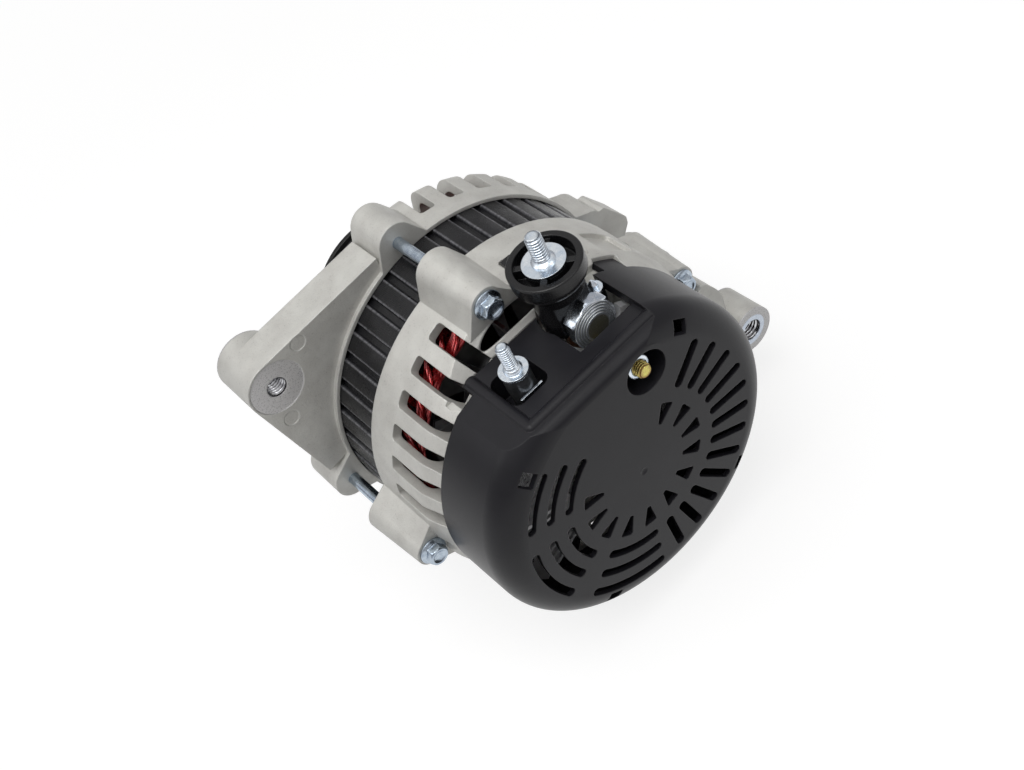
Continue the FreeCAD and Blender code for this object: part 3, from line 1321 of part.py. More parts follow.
def cover_washer():
    seat = cover_face_y - well_depth
    washer = rod_y(well_x, well_z, cover_washer_radius, seat, seat + cover_washer_thickness)
    return washer.cut(rod_y(well_x, well_z, cover_stud_radius, seat - 1, seat + 5))


def cover_nut():
    # A hexagon nut whose round flange faces out of the well.
    seat = cover_face_y - well_depth + cover_washer_thickness
    top = seat + cover_nut_height + cover_nut_flange_height
    nut = hexagon_y(well_x, well_z, cover_nut_flats, seat, seat + cover_nut_height, 20.0)
    flange = rod_y(well_x, well_z, cover_nut_flange_radius, seat + cover_nut_height, top)
    return nut.fuse(flange).cut(rod_y(well_x, well_z, cover_stud_radius, seat - 1, top + 1))


def threaded_pin(x, y, shank_radius, radius, low, thread_start, top):
    # A stud along Z with a thinner shank below its thread and a chamfered tip.
    return lathe_z(x, y, [(0, low), (shank_radius, low), (shank_radius, thread_start), (radius, thread_start),
                          (radius, top - stud_chamfer), (radius - stud_chamfer, top), (0, top)])


def output_stud():
    half = stud_head_size / 2
    low = bar_bottom - stud_head_thickness
    head = box((output_x - half, output_x + half), (output_y - half, output_y + half), (low, bar_bottom))
    return head.fuse(threaded_pin(output_x, output_y, output_shank_radius, output_stud_radius, bar_bottom,
                                  output_washer_top + thread_relief, output_stud_top))


def output_washer():
    low = output_washer_top - output_washer_thickness
    washer = rod_z(output_x, output_y, output_washer_radius, low, output_washer_top)
    return washer.cut(rod_z(output_x, output_y, output_stud_radius, low - 1, output_washer_top + 1))


def output_insulator():
    # A cup on a neck round the stud, with an inner pedestal for the washer, four ribs and a side post.
    seat = output_washer_top - output_washer_thickness
    floor = cup_top - cup_recess_depth
    under = cup_top - cup_flange_height
    cup = lathe_z(output_x, output_y, [
        (output_stud_radius, cup_foot), (cup_neck_radius, cup_foot), (cup_neck_radius, under, 2.0),
        (cup_radius, under + 1.5, 5.0), (cup_radius, cup_top, 0.8), (cup_recess_radius, cup_top, 0.4),
        (cup_recess_radius, floor, 0.6), (output_washer_radius - 0.3, floor), (output_washer_radius - 0.3, seat),
        (output_stud_radius, seat),
    ])
    tab = box((output_x + 3.4, output_x + 3.4 + cup_tab_width), (output_y - cup_tab_reach, output_y - 12.0),
              (cup_top - 6.0, cup_top - 4.0))
    post = rod_z(post_x, post_y, post_radius, cup_foot, post_top)
    web = box((post_x - 1.5, output_x - output_stud_radius - 1.0), (post_y - 2.5, post_y + 1.5),
              (cup_foot, post_top - 4.0))
    ribs = []
    for index in range(cup_rib_count):
        rib = box((output_washer_radius - 1.0, cup_recess_radius + 0.5), (-cup_rib_width / 2, cup_rib_width / 2),
                  (floor - 0.5, seat))
        rib.rotate(ORIGIN, Vector(0, 0, 1), 45 + 360.0 / cup_rib_count * index)
        rib.translate(Vector(output_x, output_y, 0))
        ribs.append(rib)
    cuts = [box((output_x - 15.0, output_x + 15.0), (head_y - 0.05, head_y + 12.0), (cup_foot - 1, neck_flat_top)),
            rod_y(head_x, head_z, head_shank_radius, head_y - head_shank_length, head_y + 1),
            rod_z(post_x, post_y, post_pin_radius + 0.05, cup_foot + 3.0, post_top + 1),
            rod_z(post_x, post_y, post_ring_radius + 0.05, post_top, post_pin_top + 1)]
    trimmed = cup.cut(cuts[:1])
    return trimmed.fuse([tab, web, post] + ribs).cut(cuts[1:])


def terminal_bar():
    # A bent bar that joins the output stud's head to the upper diode plate.
    half = terminal_bar_width / 2
    left, right = output_x + half - terminal_tab_width, output_x + half
    flat = box((output_x - half, right), (rear_web_y - 4.6, terminal_bar_end), (bar_bottom, cup_foot))
    tab = box((left, right), (terminal_bar_end - terminal_bar_thickness, terminal_bar_end),
              (terminal_tab_foot, cup_foot))
    foot = box((left, right), (terminal_bar_end - terminal_bar_thickness, positive_plate_y),
               (terminal_tab_foot, terminal_tab_foot + terminal_bar_thickness))
    hole = rod_z(output_x, output_y, output_shank_radius, bar_bottom - 1, cup_foot + 1)
    return flat.fuse([tab, foot]).cut(hole)


def terminal_bolt():
    # The large hexagon behind the output stud, on a shank that ends flush with its washers.
    stop = head_y + head_thickness
    head = hexagon_y(head_x, head_z, head_across_flats, head_y, stop, 30.0)
    return head.fuse(rod_y(head_x, head_z, head_shank_radius, head_y - head_shank_length,
                           stop + 2 * head_washer_thickness + head_washer_gap))


def terminal_washers():
    # Two thin washers against the hexagon's rear face, joined by a smaller one between them.
    start = head_y + head_thickness
    middle = start + head_washer_thickness
    rings = rod_y(head_x, head_z, head_washer_radius, start, middle)
    rings = rings.fuse([rod_y(head_x, head_z, head_washer_radius - 1.2, middle, middle + head_washer_gap),
                        rod_y(head_x, head_z, head_washer_radius - 0.2, middle + head_washer_gap,
                              middle + head_washer_gap + head_washer_thickness)])
    return rings.cut(rod_y(head_x, head_z, head_shank_radius, start - 1, middle + 5))


def post_pin():
    pin = rod_z(post_x, post_y, post_pin_radius, cup_foot + 3.0, post_pin_top - 2.0)
    tip = Part.makeCone(post_pin_radius, 0.5, 2.0, Vector(post_x, post_y, post_pin_top - 2.0), Vector(0, 0, 1))
    collar = rod_z(post_x, post_y, post_ring_radius, post_top, post_top + post_ring_thickness)
    return pin.fuse([tip, collar])


def signal_stud():
    low = signal_head_top - signal_head_thickness
    head = rod_z(signal_x, signal_y, signal_head_radius, low, signal_head_top)
    thread_start = signal_sleeve_top + signal_washer_thickness + thread_relief
    return head.fuse(threaded_pin(signal_x, signal_y, signal_shank_radius, signal_stud_radius, signal_head_top,
                                  thread_start, signal_stud_top))


def signal_sleeve():
    sleeve = rod_z(signal_x, signal_y, signal_sleeve_radius, signal_floor, signal_sleeve_top)
    return sleeve.cut(rod_z(signal_x, signal_y, signal_stud_radius, signal_floor - 1, signal_sleeve_top + 1))


def signal_washer():
    low, high = signal_sleeve_top, signal_sleeve_top + signal_washer_thickness
    washer = rod_z(signal_x, signal_y, signal_washer_radius, low, high)
    return washer.cut(rod_z(signal_x, signal_y, signal_stud_radius, low - 1, high + 1))


def blade_terminal():
    half = blade_width / 2
    blade = box((signal_x - half, signal_x + half), (blade_y, blade_y + blade_thickness),
                (signal_head_top - blade_root, shelf_height))
    hole = rod_y(signal_x, shelf_height - 4.0, 1.0, blade_y - 1, blade_y + 2)
    return blade.cut(hole)


front_bearing = bearing(shaft_drive_radius, front_bearing_radius, front_ball_radius, front_ball_count,
                        front_pitch_radius, front_bearing_y, front_bearing_width)
rear_bearing = bearing(shaft_rear_radius, rear_bearing_radius, rear_ball_radius, rear_ball_count,
                       rear_pitch_radius, rear_bearing_y, rear_bearing_width)

nodes = {
    "front_bracket": front_bracket(),
    "rear_bracket": rear_bracket(),
    "stator_core": stator_core(),
    "stator_winding": stator_winding(),
    "stator_leads": stator_leads(),
    "bearing_retainer": bearing_retainer(),
    "retainer_screws": retainer_screws(),
    "through_bolts": through_bolts(),
    "pivot_bush": pivot_bush(),
    "rear_cover": rear_cover(),
    "cover_stud": cover_stud(),
    "cover_washer": cover_washer(),
    "cover_nut": cover_nut(),
    "output_stud": output_stud(),
    "output_washer": output_washer(),
    "output_insulator": output_insulator(),
    "terminal_bar": terminal_bar(),
    "terminal_bolt": terminal_bolt(),
    "terminal_washers": terminal_washers(),
    "post_pin": post_pin(),
    "signal_stud": signal_stud(),
    "signal_sleeve": signal_sleeve(),
    "signal_washer": signal_washer(),
    "blade_terminal": blade_terminal(),
    "negative_heat_sink": negative_heat_sink(),
    "positive_heat_sink": positive_heat_sink(),
    "negative_diodes": diodes(negative_diode_angles, negative_plate_y, 1),
    "positive_diodes": diodes(positive_diode_angles, positive_rear_y, -1),
    "terminal_block": terminal_block(),
    "rectifier_screws": rectifier_screws(),
    "regulator": regulator(),
    "brush_holder": brush_holder(),
    "inner_brush": brush(0),
    "outer_brush": brush(1),
    "inner_brush_spring": brush_spring(0),
    "outer_brush_spring": brush_spring(1),
    "rotor_shaft": rotor_shaft(),
    "front_pole": pole_claws(),
    "rear_pole": rear_pole_claws(),
    "coil_bobbin": coil_bobbin(),
    "field_coil": field_coil(),
    "front_fan": fan(front_blade_count, pole_front_y, -1),
    "rear_fan": fan(rear_blade_count, pole_rear_y, 1),
    "slip_ring_hub": slip_ring_hub(),
    "slip_rings": slip_rings(),
    "shaft_spacer": shaft_spacer(),
    "pulley": pulley(),
    "pulley_washer": pulley_washer(),
    "pulley_nut": pulley_nut(),
}
for end, pieces in (("front", front_bearing), ("rear", rear_bearing)):
    for piece, shape in pieces.items():
        nodes[end + "_bearing_" + piece] = shape

os.makedirs("parts", exist_ok=True)
for name, shape in nodes.items():
    shape.exportStep("parts/" + name + ".step")
    print(name, len(shape.Solids), round(shape.Volume), shape.isValid())
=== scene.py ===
import json
import math

import bpy
import numpy as np
from mathutils import Matrix, Vector


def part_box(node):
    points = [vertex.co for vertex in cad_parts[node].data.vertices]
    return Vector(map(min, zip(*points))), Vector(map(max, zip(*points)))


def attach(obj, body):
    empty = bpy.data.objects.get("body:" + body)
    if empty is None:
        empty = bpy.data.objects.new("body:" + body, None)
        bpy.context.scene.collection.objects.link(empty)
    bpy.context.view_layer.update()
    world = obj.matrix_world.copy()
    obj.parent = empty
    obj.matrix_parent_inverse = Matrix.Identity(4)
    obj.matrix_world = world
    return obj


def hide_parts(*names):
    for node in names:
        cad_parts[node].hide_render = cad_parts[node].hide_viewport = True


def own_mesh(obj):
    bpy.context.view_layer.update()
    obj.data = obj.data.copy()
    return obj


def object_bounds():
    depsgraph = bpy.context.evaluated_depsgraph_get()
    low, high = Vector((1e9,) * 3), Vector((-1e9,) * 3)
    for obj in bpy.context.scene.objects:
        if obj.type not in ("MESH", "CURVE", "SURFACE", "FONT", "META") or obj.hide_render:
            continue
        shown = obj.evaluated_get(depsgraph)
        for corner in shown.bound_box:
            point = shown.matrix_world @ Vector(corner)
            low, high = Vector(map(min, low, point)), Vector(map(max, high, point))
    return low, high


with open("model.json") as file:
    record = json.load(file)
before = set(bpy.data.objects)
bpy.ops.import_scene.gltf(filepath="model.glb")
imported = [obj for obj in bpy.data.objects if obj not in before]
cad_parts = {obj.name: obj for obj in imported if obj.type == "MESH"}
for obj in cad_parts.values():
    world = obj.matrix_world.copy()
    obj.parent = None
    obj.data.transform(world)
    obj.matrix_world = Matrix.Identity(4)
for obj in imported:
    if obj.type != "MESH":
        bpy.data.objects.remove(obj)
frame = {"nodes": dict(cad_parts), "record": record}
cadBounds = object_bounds()
nodes = frame["nodes"]
mm = 0.001
print("frame loaded:", len(nodes), "nodes")

# Node graph helpers. Colours are linear, sizes in metres.


def newMaterial(name, base, metallic=0.0, roughness=0.5, coat=0.0, specular=0.5):
    material = bpy.data.materials.new(name)
    material.use_nodes = True
    tree = material.node_tree
    shader = tree.nodes["Principled BSDF"]
    shader.inputs["Base Color"].default_value = (*base, 1.0)
    shader.inputs["Metallic"].default_value = metallic
    shader.inputs["Roughness"].default_value = roughness
    shader.inputs["Coat Weight"].default_value = coat
    shader.inputs["Coat Roughness"].default_value = 0.12
    shader.inputs["Specular IOR Level"].default_value = specular
    return material, tree, shader


def objectCoords(tree, scale=(1.0, 1.0, 1.0), shift=(0.0, 0.0, 0.0)):
    coords = tree.nodes.new("ShaderNodeTexCoord")
    mapping = tree.nodes.new("ShaderNodeMapping")
    mapping.inputs["Scale"].default_value = scale
    mapping.inputs["Location"].default_value = shift
    tree.links.new(coords.outputs["Object"], mapping.inputs["Vector"])
    return mapping.outputs["Vector"]


def noise(tree, vector, size, detail=3.0, roughness=0.55):
    node = tree.nodes.new("ShaderNodeTexNoise")
    node.inputs["Scale"].default_value = 1.0 / size
    node.inputs["Detail"].default_value = detail
    node.inputs["Roughness"].default_value = roughness
    tree.links.new(vector, node.inputs["Vector"])
    return node.outputs["Fac"]


def spread(tree, value, low, high, start=0.3, stop=0.7):
    # low where the value is at start or below, high at stop or above, straight between
    node = tree.nodes.new("ShaderNodeMapRange")
    node.inputs["From Min"].default_value = start
    node.inputs["From Max"].default_value = stop
    node.inputs["To Min"].default_value = low
    node.inputs["To Max"].default_value = high
    tree.links.new(value, node.inputs["Value"])
    return node.outputs["Result"]


def maths(tree, operation, first, second=0.0, third=0.0):
    # each value is a number or an output of another node
    node = tree.nodes.new("ShaderNodeMath")
    node.operation = operation
    for socket, value in zip(node.inputs, (first, second, third)):
        if isinstance(value, (int, float)):
            socket.default_value = value
        else:
            tree.links.new(value, socket)
    return node.outputs["Value"]


def blendColours(tree, factor, first, second):
    # first and second are colours, or outputs of other nodes
    node = tree.nodes.new("ShaderNodeMix")
    node.data_type = "RGBA"
    for key, value in (("A", first), ("B", second)):
        socket = next(s for s in node.inputs if s.name == key and s.type == "RGBA")
        if isinstance(value, tuple):
            socket.default_value = (*value, 1.0)
        else:
            tree.links.new(value, socket)
    tree.links.new(factor, node.inputs["Factor"])
    return next(s for s in node.outputs if s.type == "RGBA")


def roundedNormal(tree, radius):
    node = tree.nodes.new("ShaderNodeBevel")
    node.samples = 6
    node.inputs["Radius"].default_value = radius
    return node.outputs["Normal"]


def edgeMask(tree, rounded, start=0.03, stop=0.25):
    # 0 on open faces, rising to 1 where the rounded normal leaves the flat one
    flat = tree.nodes.new("ShaderNodeNewGeometry")
    dot = tree.nodes.new("ShaderNodeVectorMath")
    dot.operation = "DOT_PRODUCT"
    tree.links.new(rounded, dot.inputs[0])
    tree.links.new(flat.outputs["Normal"], dot.inputs[1])
    return spread(tree, maths(tree, "SUBTRACT", 1.0, dot.outputs["Value"]), 0.0, 1.0, start, stop)


def bumped(tree, shader, height, distance, normal=None):
    node = tree.nodes.new("ShaderNodeBump")
    node.inputs["Distance"].default_value = distance
    tree.links.new(height, node.inputs["Height"])
    if normal is not None:
        tree.links.new(normal, node.inputs["Normal"])
    tree.links.new(node.outputs["Normal"], shader.inputs["Normal"])
    return node.outputs["Normal"]


def grainy(name, look):
    # broad patches change the colour, a fine grain changes gloss and relief, edges are painted brighter as
    # wear and as a painted highlight
    metallic, coat, specular = look.get("metallic", 0.0), look.get("coat", 0.0), look.get("specular", 0.5)
    rough = sum(look["roughness"]) / 2
    material, tree, shader = newMaterial(name, look["light"], metallic, rough, coat, specular)
    vector = objectCoords(tree)
    broad = noise(tree, vector, look["patch"], 4.0)
    fine = noise(tree, vector, look["grain"], 3.0, 0.6)
    colour = blendColours(tree, spread(tree, broad, 0.0, 1.0), look["light"], look["dark"])
    gloss = spread(tree, fine, *look["roughness"])
    normal = None
    # painted highlight and wear: the edge colour brightens rounded edges, whichever way they face
    if "edge" in look:
        normal = roundedNormal(tree, look["edgeRadius"])
        rubAndHighlight = maths(tree, "MULTIPLY", edgeMask(tree, normal), spread(tree, broad, 0.35, 1.0))
        colour = blendColours(tree, rubAndHighlight, colour, look["edge"])
    # painted shade: the groove colour darkens thread roots and the feet of steps, by the groove attribute
    if "groove" in look:
        depth = tree.nodes.new("ShaderNodeAttribute")
        depth.attribute_name = "groove"
        colour = blendColours(tree, depth.outputs["Fac"], colour, look["groove"])
    tree.links.new(colour, shader.inputs["Base Color"])
    tree.links.new(gloss, shader.inputs["Roughness"])
    bumped(tree, shader, fine, look["relief"], normal)
    return material


# Cast aluminium: sandy skin with fine specks, edges painted brighter as wear and as a painted highlight, and
# faces that a cutter has cleaned.

casting = {
    "light": (0.66, 0.655, 0.62),
    "dark": (0.56, 0.55, 0.52),
    "speck": (0.36, 0.35, 0.33),
    "cut": (0.62, 0.61, 0.62),
    "edge": (0.76, 0.76, 0.74),
    "metallic": 0.30,
    "roughness": (0.42, 0.58),
    "patch": 9 * mm,
    "skin": 0.6 * mm,
    "specks": 0.75 * mm,
    "lumps": 3.2 * mm,
    "skinRelief": 0.09 * mm,
    "lumpRelief": 0.10 * mm,
    "edgeRadius": 0.7 * mm,
    "ringPitch": 0.9 * mm,
    "ringRelief": 0.004 * mm,
    "cutShare": 0.8,  # how much of the skin's colour a cutter takes away
    "cutGloss": 0.2,  # how much smoother it leaves the metal
    # centre x, centre z, radius and face y of each cut face, in millimetres
    "cutFaces": [(75.5, 58.7, 11.7, 57.2), (-92.6, -44.0, 11.0, 120.0), (-92.6, -44.0, 11.0, 59.2),
                 (-92.6, -44.0, 11.0, 100.0), (75.5, 58.7, 12.5, 33.5)],
    "faceDepth": 0.6 * mm,
}


def cutFaceMask(tree, x, y, z):
    # 1 inside a face's circle and close to its plane; the rings are the sine of the distance to its middle
    whole, rings = 0.0, 0.0
    for cx, cz, radius, level in casting["cutFaces"]:
        dx = maths(tree, "SUBTRACT", x, cx * mm)
        dz = maths(tree, "SUBTRACT", z, cz * mm)
        squares = maths(tree, "ADD", maths(tree, "POWER", dx, 2.0), maths(tree, "POWER", dz, 2.0))
        away = maths(tree, "SQRT", squares)
        inside = maths(tree, "LESS_THAN", away, radius * mm)
        near = maths(tree, "COMPARE", y, level * mm, casting["faceDepth"])
        mask = maths(tree, "MULTIPLY", inside, near)
        wave = maths(tree, "SINE", maths(tree, "MULTIPLY", away, 2 * math.pi / casting["ringPitch"]))
        whole = maths(tree, "MAXIMUM", whole, mask)
        rings = maths(tree, "ADD", rings, maths(tree, "MULTIPLY", mask, wave))
    return whole, rings


def castAluminium():
    look = casting
    material, tree, shader = newMaterial("castAluminium", look["light"], look["metallic"], 0.5)
    vector = objectCoords(tree)
    axes = tree.nodes.new("ShaderNodeSeparateXYZ")
    tree.links.new(vector, axes.inputs["Vector"])
    cut, rings = cutFaceMask(tree, axes.outputs["X"], axes.outputs["Y"], axes.outputs["Z"])
    broad = noise(tree, vector, look["patch"], 4.0)
    skin = noise(tree, vector, look["skin"], 4.0, 0.65)
    lumps = noise(tree, vector, look["lumps"], 2.0)
    specks = spread(tree, noise(tree, vector, look["specks"], 3.0), 0.0, 0.6, 0.58, 0.72)
    specks = maths(tree, "MULTIPLY", specks, spread(tree, broad, 0.25, 1.0))
    normal = roundedNormal(tree, look["edgeRadius"])
    # painted highlight and wear: rounded edges are brightened towards the edge colour
    rubAndHighlight = maths(tree, "MULTIPLY", edgeMask(tree, normal), spread(tree, broad, 0.3, 0.9))
    colour = blendColours(tree, spread(tree, broad, 0.0, 1.0), look["light"], look["dark"])
    colour = blendColours(tree, specks, colour, look["speck"])
    colour = blendColours(tree, rubAndHighlight, colour, look["edge"])
    colour = blendColours(tree, maths(tree, "MULTIPLY", cut, look["cutShare"]), colour, look["cut"])
    smoother = maths(tree, "MULTIPLY", cut, look["cutGloss"])
    rough = maths(tree, "SUBTRACT", spread(tree, skin, *look["roughness"]), smoother)
    tree.links.new(colour, shader.inputs["Base Color"])
    tree.links.new(rough, shader.inputs["Roughness"])
    uncut = maths(tree, "SUBTRACT", 1.0, cut)
    sandy = bumped(tree, shader, maths(tree, "MULTIPLY", skin, uncut), look["skinRelief"], normal)
    lumpy = bumped(tree, shader, maths(tree, "MULTIPLY", lumps, uncut), look["lumpRelief"], sandy)
    bumped(tree, shader, rings, look["ringRelief"], lumpy)
    return material


# The lacquered core: thin steel sheets stacked along the shaft under black varnish, with a bright line on
# each land beside its groove, partly rubbed varnish and partly a painted highlight.

laminations = {
    "light": (0.012, 0.012, 0.014),
    "dark": (0.005, 0.005, 0.006),
    "rubAndHighlight": (0.26, 0.26, 0.28),
    "roughness": (0.18, 0.34),
    "specular": 0.32,
    "patch": 7 * mm,
    "sheet": 0.65 * mm,
    "unevenSheet": 1.1 * mm,
    "alongSheet": 0.02,  # a sheet's own tone stays the same over this share of the distance across it
    "relief": 0.045 * mm,
    "edgeRadius": 0.5 * mm,
    "wornAndHighlit": (0.25, 0.8),
}


def laminatedCore():
    look = laminations
    material, tree, shader = newMaterial("laminatedCore", look["light"], 0.0, 0.25, 0.0, look["specular"])
    vector = objectCoords(tree)
    axes = tree.nodes.new("ShaderNodeSeparateXYZ")
    tree.links.new(vector, axes.inputs["Vector"])
    ripple = maths(tree, "SINE", maths(tree, "MULTIPLY", axes.outputs["Y"], 2 * math.pi / look["sheet"]))
    stretched = objectCoords(tree, (look["alongSheet"], 1.0, look["alongSheet"]))
    sheets = noise(tree, stretched, look["unevenSheet"], 2.0)
    broad = noise(tree, vector, look["patch"], 4.0)
    normal = roundedNormal(tree, look["edgeRadius"])
    colour = blendColours(tree, spread(tree, broad, 0.0, 1.0), look["light"], look["dark"])
    # painted highlight and rubbed varnish: a bright line beside each groove, uneven from sheet to sheet
    rim = tree.nodes.new("ShaderNodeAttribute")
    rim.attribute_name = "groove"
    wornAndHighlit = maths(tree, "MULTIPLY", rim.outputs["Fac"], spread(tree, sheets, *look["wornAndHighlit"]))
    colour = blendColours(tree, wornAndHighlit, colour, look["rubAndHighlight"])
    tree.links.new(colour, shader.inputs["Base Color"])
    tree.links.new(spread(tree, broad, *look["roughness"]), shader.inputs["Roughness"])
    height = maths(tree, "ADD", maths(tree, "MULTIPLY", ripple, 0.5), sheets)
    bumped(tree, shader, height, look["relief"], normal)
    return material


# Every other finish is grainy, with its own two tones, gloss, patch size and grain.

# an edge colour paints edges brighter, as wear and as a painted highlight; a groove colour is painted shade
# in thread roots
finishes = {
    "cast_aluminium": castAluminium(),
    "lacquered_core": laminatedCore(),
    "enamelled_wire": grainy("enamelledWire", {
        "light": (0.56, 0.022, 0.026), "dark": (0.16, 0.004, 0.006), "metallic": 0.65, "coat": 1.0,
        "roughness": (0.10, 0.20), "patch": 3 * mm, "grain": 0.9 * mm, "relief": 0.02 * mm}),
    "tinned_copper": grainy("tinnedCopper", {
        "light": (0.62, 0.42, 0.30), "dark": (0.5, 0.32, 0.22), "metallic": 1.0, "roughness": (0.25, 0.4),
        "patch": 3 * mm, "grain": 0.3 * mm, "relief": 0.01 * mm}),
    "bright_zinc": grainy("brightZinc", {
        "light": (0.80, 0.84, 0.88), "dark": (0.58, 0.66, 0.76), "metallic": 1.0, "roughness": (0.16, 0.30),
        "patch": 2.5 * mm, "grain": 0.22 * mm, "relief": 0.012 * mm, "edge": (0.90, 0.92, 0.94),
        "edgeRadius": 0.25 * mm, "groove": (0.13, 0.15, 0.18)}),
    "yellow_zinc": grainy("yellowZinc", {
        "light": (0.70, 0.66, 0.16), "dark": (0.56, 0.42, 0.16), "metallic": 0.8, "roughness": (0.2, 0.35),
        "patch": 1.6 * mm, "grain": 0.22 * mm, "relief": 0.01 * mm, "edge": (0.80, 0.72, 0.44),
        "edgeRadius": 0.25 * mm, "groove": (0.16, 0.045, 0.02)}),
    "turned_steel": grainy("turnedSteel", {
        "light": (0.46, 0.46, 0.47), "dark": (0.38, 0.38, 0.39), "metallic": 1.0, "roughness": (0.2, 0.34),
        "patch": 3 * mm, "grain": 0.2 * mm, "relief": 0.008 * mm, "edge": (0.62, 0.62, 0.63),
        "edgeRadius": 0.25 * mm}),
    "pole_steel": grainy("poleSteel", {
        "light": (0.2, 0.2, 0.205), "dark": (0.13, 0.13, 0.13), "metallic": 1.0, "roughness": (0.3, 0.5),
        "patch": 5 * mm, "grain": 0.4 * mm, "relief": 0.03 * mm, "edge": (0.34, 0.34, 0.34),
        "edgeRadius": 0.5 * mm}),
    "bearing_steel": grainy("bearingSteel", {
        "light": (0.72, 0.73, 0.75), "dark": (0.66, 0.67, 0.69), "metallic": 1.0, "roughness": (0.08, 0.14),
        "patch": 3 * mm, "grain": 0.3 * mm, "relief": 0.002 * mm}),
    "cage_steel": grainy("cageSteel", {
        "light": (0.5, 0.42, 0.26), "dark": (0.42, 0.36, 0.24), "metallic": 1.0, "roughness": (0.3, 0.4),
        "patch": 3 * mm, "grain": 0.3 * mm, "relief": 0.01 * mm}),
    "seal_rubber": grainy("sealRubber", {
        "light": (0.02, 0.02, 0.02), "dark": (0.014, 0.014, 0.014), "roughness": (0.6, 0.75),
        "specular": 0.35, "patch": 3 * mm, "grain": 0.3 * mm, "relief": 0.02 * mm}),
    # the cover's edge colour is mostly a painted highlight on its rims and beads, with a little wear
    "black_cover": grainy("blackCover", {
        "light": (0.0160, 0.0156, 0.0190), "dark": (0.0120, 0.0117, 0.0145), "roughness": (0.30, 0.42),
        "specular": 0.23, "patch": 16 * mm, "grain": 0.32 * mm, "relief": 0.010 * mm,
        "edge": (0.035, 0.035, 0.037), "edgeRadius": 0.55 * mm}),
    "black_insulator": grainy("blackInsulator", {
        "light": (0.009, 0.009, 0.010), "dark": (0.006, 0.006, 0.007), "roughness": (0.2, 0.32),
        "specular": 0.35, "patch": 8 * mm, "grain": 0.3 * mm, "relief": 0.006 * mm,
        "edge": (0.03, 0.03, 0.032), "edgeRadius": 0.5 * mm}),
    "black_pulley": grainy("blackPulley", {
        "light": (0.016, 0.016, 0.016), "dark": (0.01, 0.01, 0.01), "metallic": 0.4, "roughness": (0.3, 0.4),
        "patch": 8 * mm, "grain": 0.3 * mm, "relief": 0.01 * mm, "edge": (0.10, 0.10, 0.10),
        "edgeRadius": 0.3 * mm}),
    "heat_sink": grainy("heatSink", {
        "light": (0.78, 0.78, 0.79), "dark": (0.66, 0.66, 0.67), "metallic": 0.4, "roughness": (0.3, 0.42),
        "patch": 4 * mm, "grain": 0.3 * mm, "relief": 0.01 * mm}),
    "carbon": grainy("carbonBrush", {
        "light": (0.04, 0.035, 0.034), "dark": (0.025, 0.022, 0.022), "metallic": 0.2,
        "roughness": (0.4, 0.6), "patch": 2 * mm, "grain": 0.2 * mm, "relief": 0.01 * mm}),
    "bobbin_plastic": grainy("bobbinPlastic", {
        "light": (0.1, 0.05, 0.015), "dark": (0.07, 0.035, 0.01), "roughness": (0.4, 0.5),
        "patch": 4 * mm, "grain": 0.3 * mm, "relief": 0.01 * mm}),
    "fan_steel": grainy("fanSteel", {
        "light": (0.40, 0.40, 0.41), "dark": (0.32, 0.32, 0.33), "metallic": 1.0, "roughness": (0.3, 0.42),
        "patch": 4 * mm, "grain": 0.3 * mm, "relief": 0.01 * mm, "edge": (0.55, 0.55, 0.56),
        "edgeRadius": 0.3 * mm}),
}
# these go before the slot's finish on the nodes that they are named after
ownFinishes = {
    # the washers' groove colour is painted shade at the foot of each step and in the middle
    "terminal_washers": grainy("platedWashers", {
        "light": (0.74, 0.79, 0.86), "dark": (0.52, 0.56, 0.62), "metallic": 0.7, "roughness": (0.16, 0.28),
        "patch": 3.5 * mm, "grain": 0.3 * mm, "relief": 0.01 * mm, "edge": (0.92, 0.93, 0.94),
        "edgeRadius": 0.15 * mm, "groove": (0.16, 0.14, 0.05)}),
    "through_bolts": grainy("boltZinc", {
        "light": (0.50, 0.57, 0.64), "dark": (0.32, 0.38, 0.46), "metallic": 1.0, "roughness": (0.16, 0.30),
        "patch": 2.5 * mm, "grain": 0.25 * mm, "relief": 0.012 * mm, "edge": (0.80, 0.86, 0.92),
        "edgeRadius": 0.25 * mm}),
    # its groove colour is painted shade in the thread's roots
    "tapped_bore": grainy("tappedBore", {
        "light": (0.82, 0.83, 0.86), "dark": (0.66, 0.67, 0.70), "metallic": 1.0, "roughness": (0.14, 0.24),
        "patch": 1.5 * mm, "grain": 0.2 * mm, "relief": 0.01 * mm, "groove": (0.05, 0.045, 0.045)}),
    "pivot_bush": grainy("bushZinc", {
        "light": (0.56, 0.61, 0.68), "dark": (0.44, 0.49, 0.57), "metallic": 0.9, "roughness": (0.2, 0.34),
        "patch": 3 * mm, "grain": 0.25 * mm, "relief": 0.01 * mm, "edge": (0.80, 0.84, 0.90),
        "edgeRadius": 0.3 * mm}),
    "signal_sleeve": grainy("sleeveSteel", {
        "light": (0.17, 0.175, 0.185), "dark": (0.10, 0.105, 0.11), "metallic": 0.8,
        "roughness": (0.28, 0.42), "patch": 2.5 * mm, "grain": 0.3 * mm, "relief": 0.015 * mm,
        "edge": (0.45, 0.47, 0.50), "edgeRadius": 0.3 * mm}),
}
slotOf = {entry["node"]: entry["material_slot"] for entry in frame["record"]["subparts"]}
bodyOf = {name: body for body, members in frame["record"]["behaviour"]["bodies"].items() for name in members}
for name, piece in nodes.items():
    for slot in piece.material_slots:
        slot.material = ownFinishes.get(name, finishes[slotOf[name]])
print("finishes set:", len(finishes))

# New surfaces: every one is a grid of rings, closed by a flat face on its first and last ring.


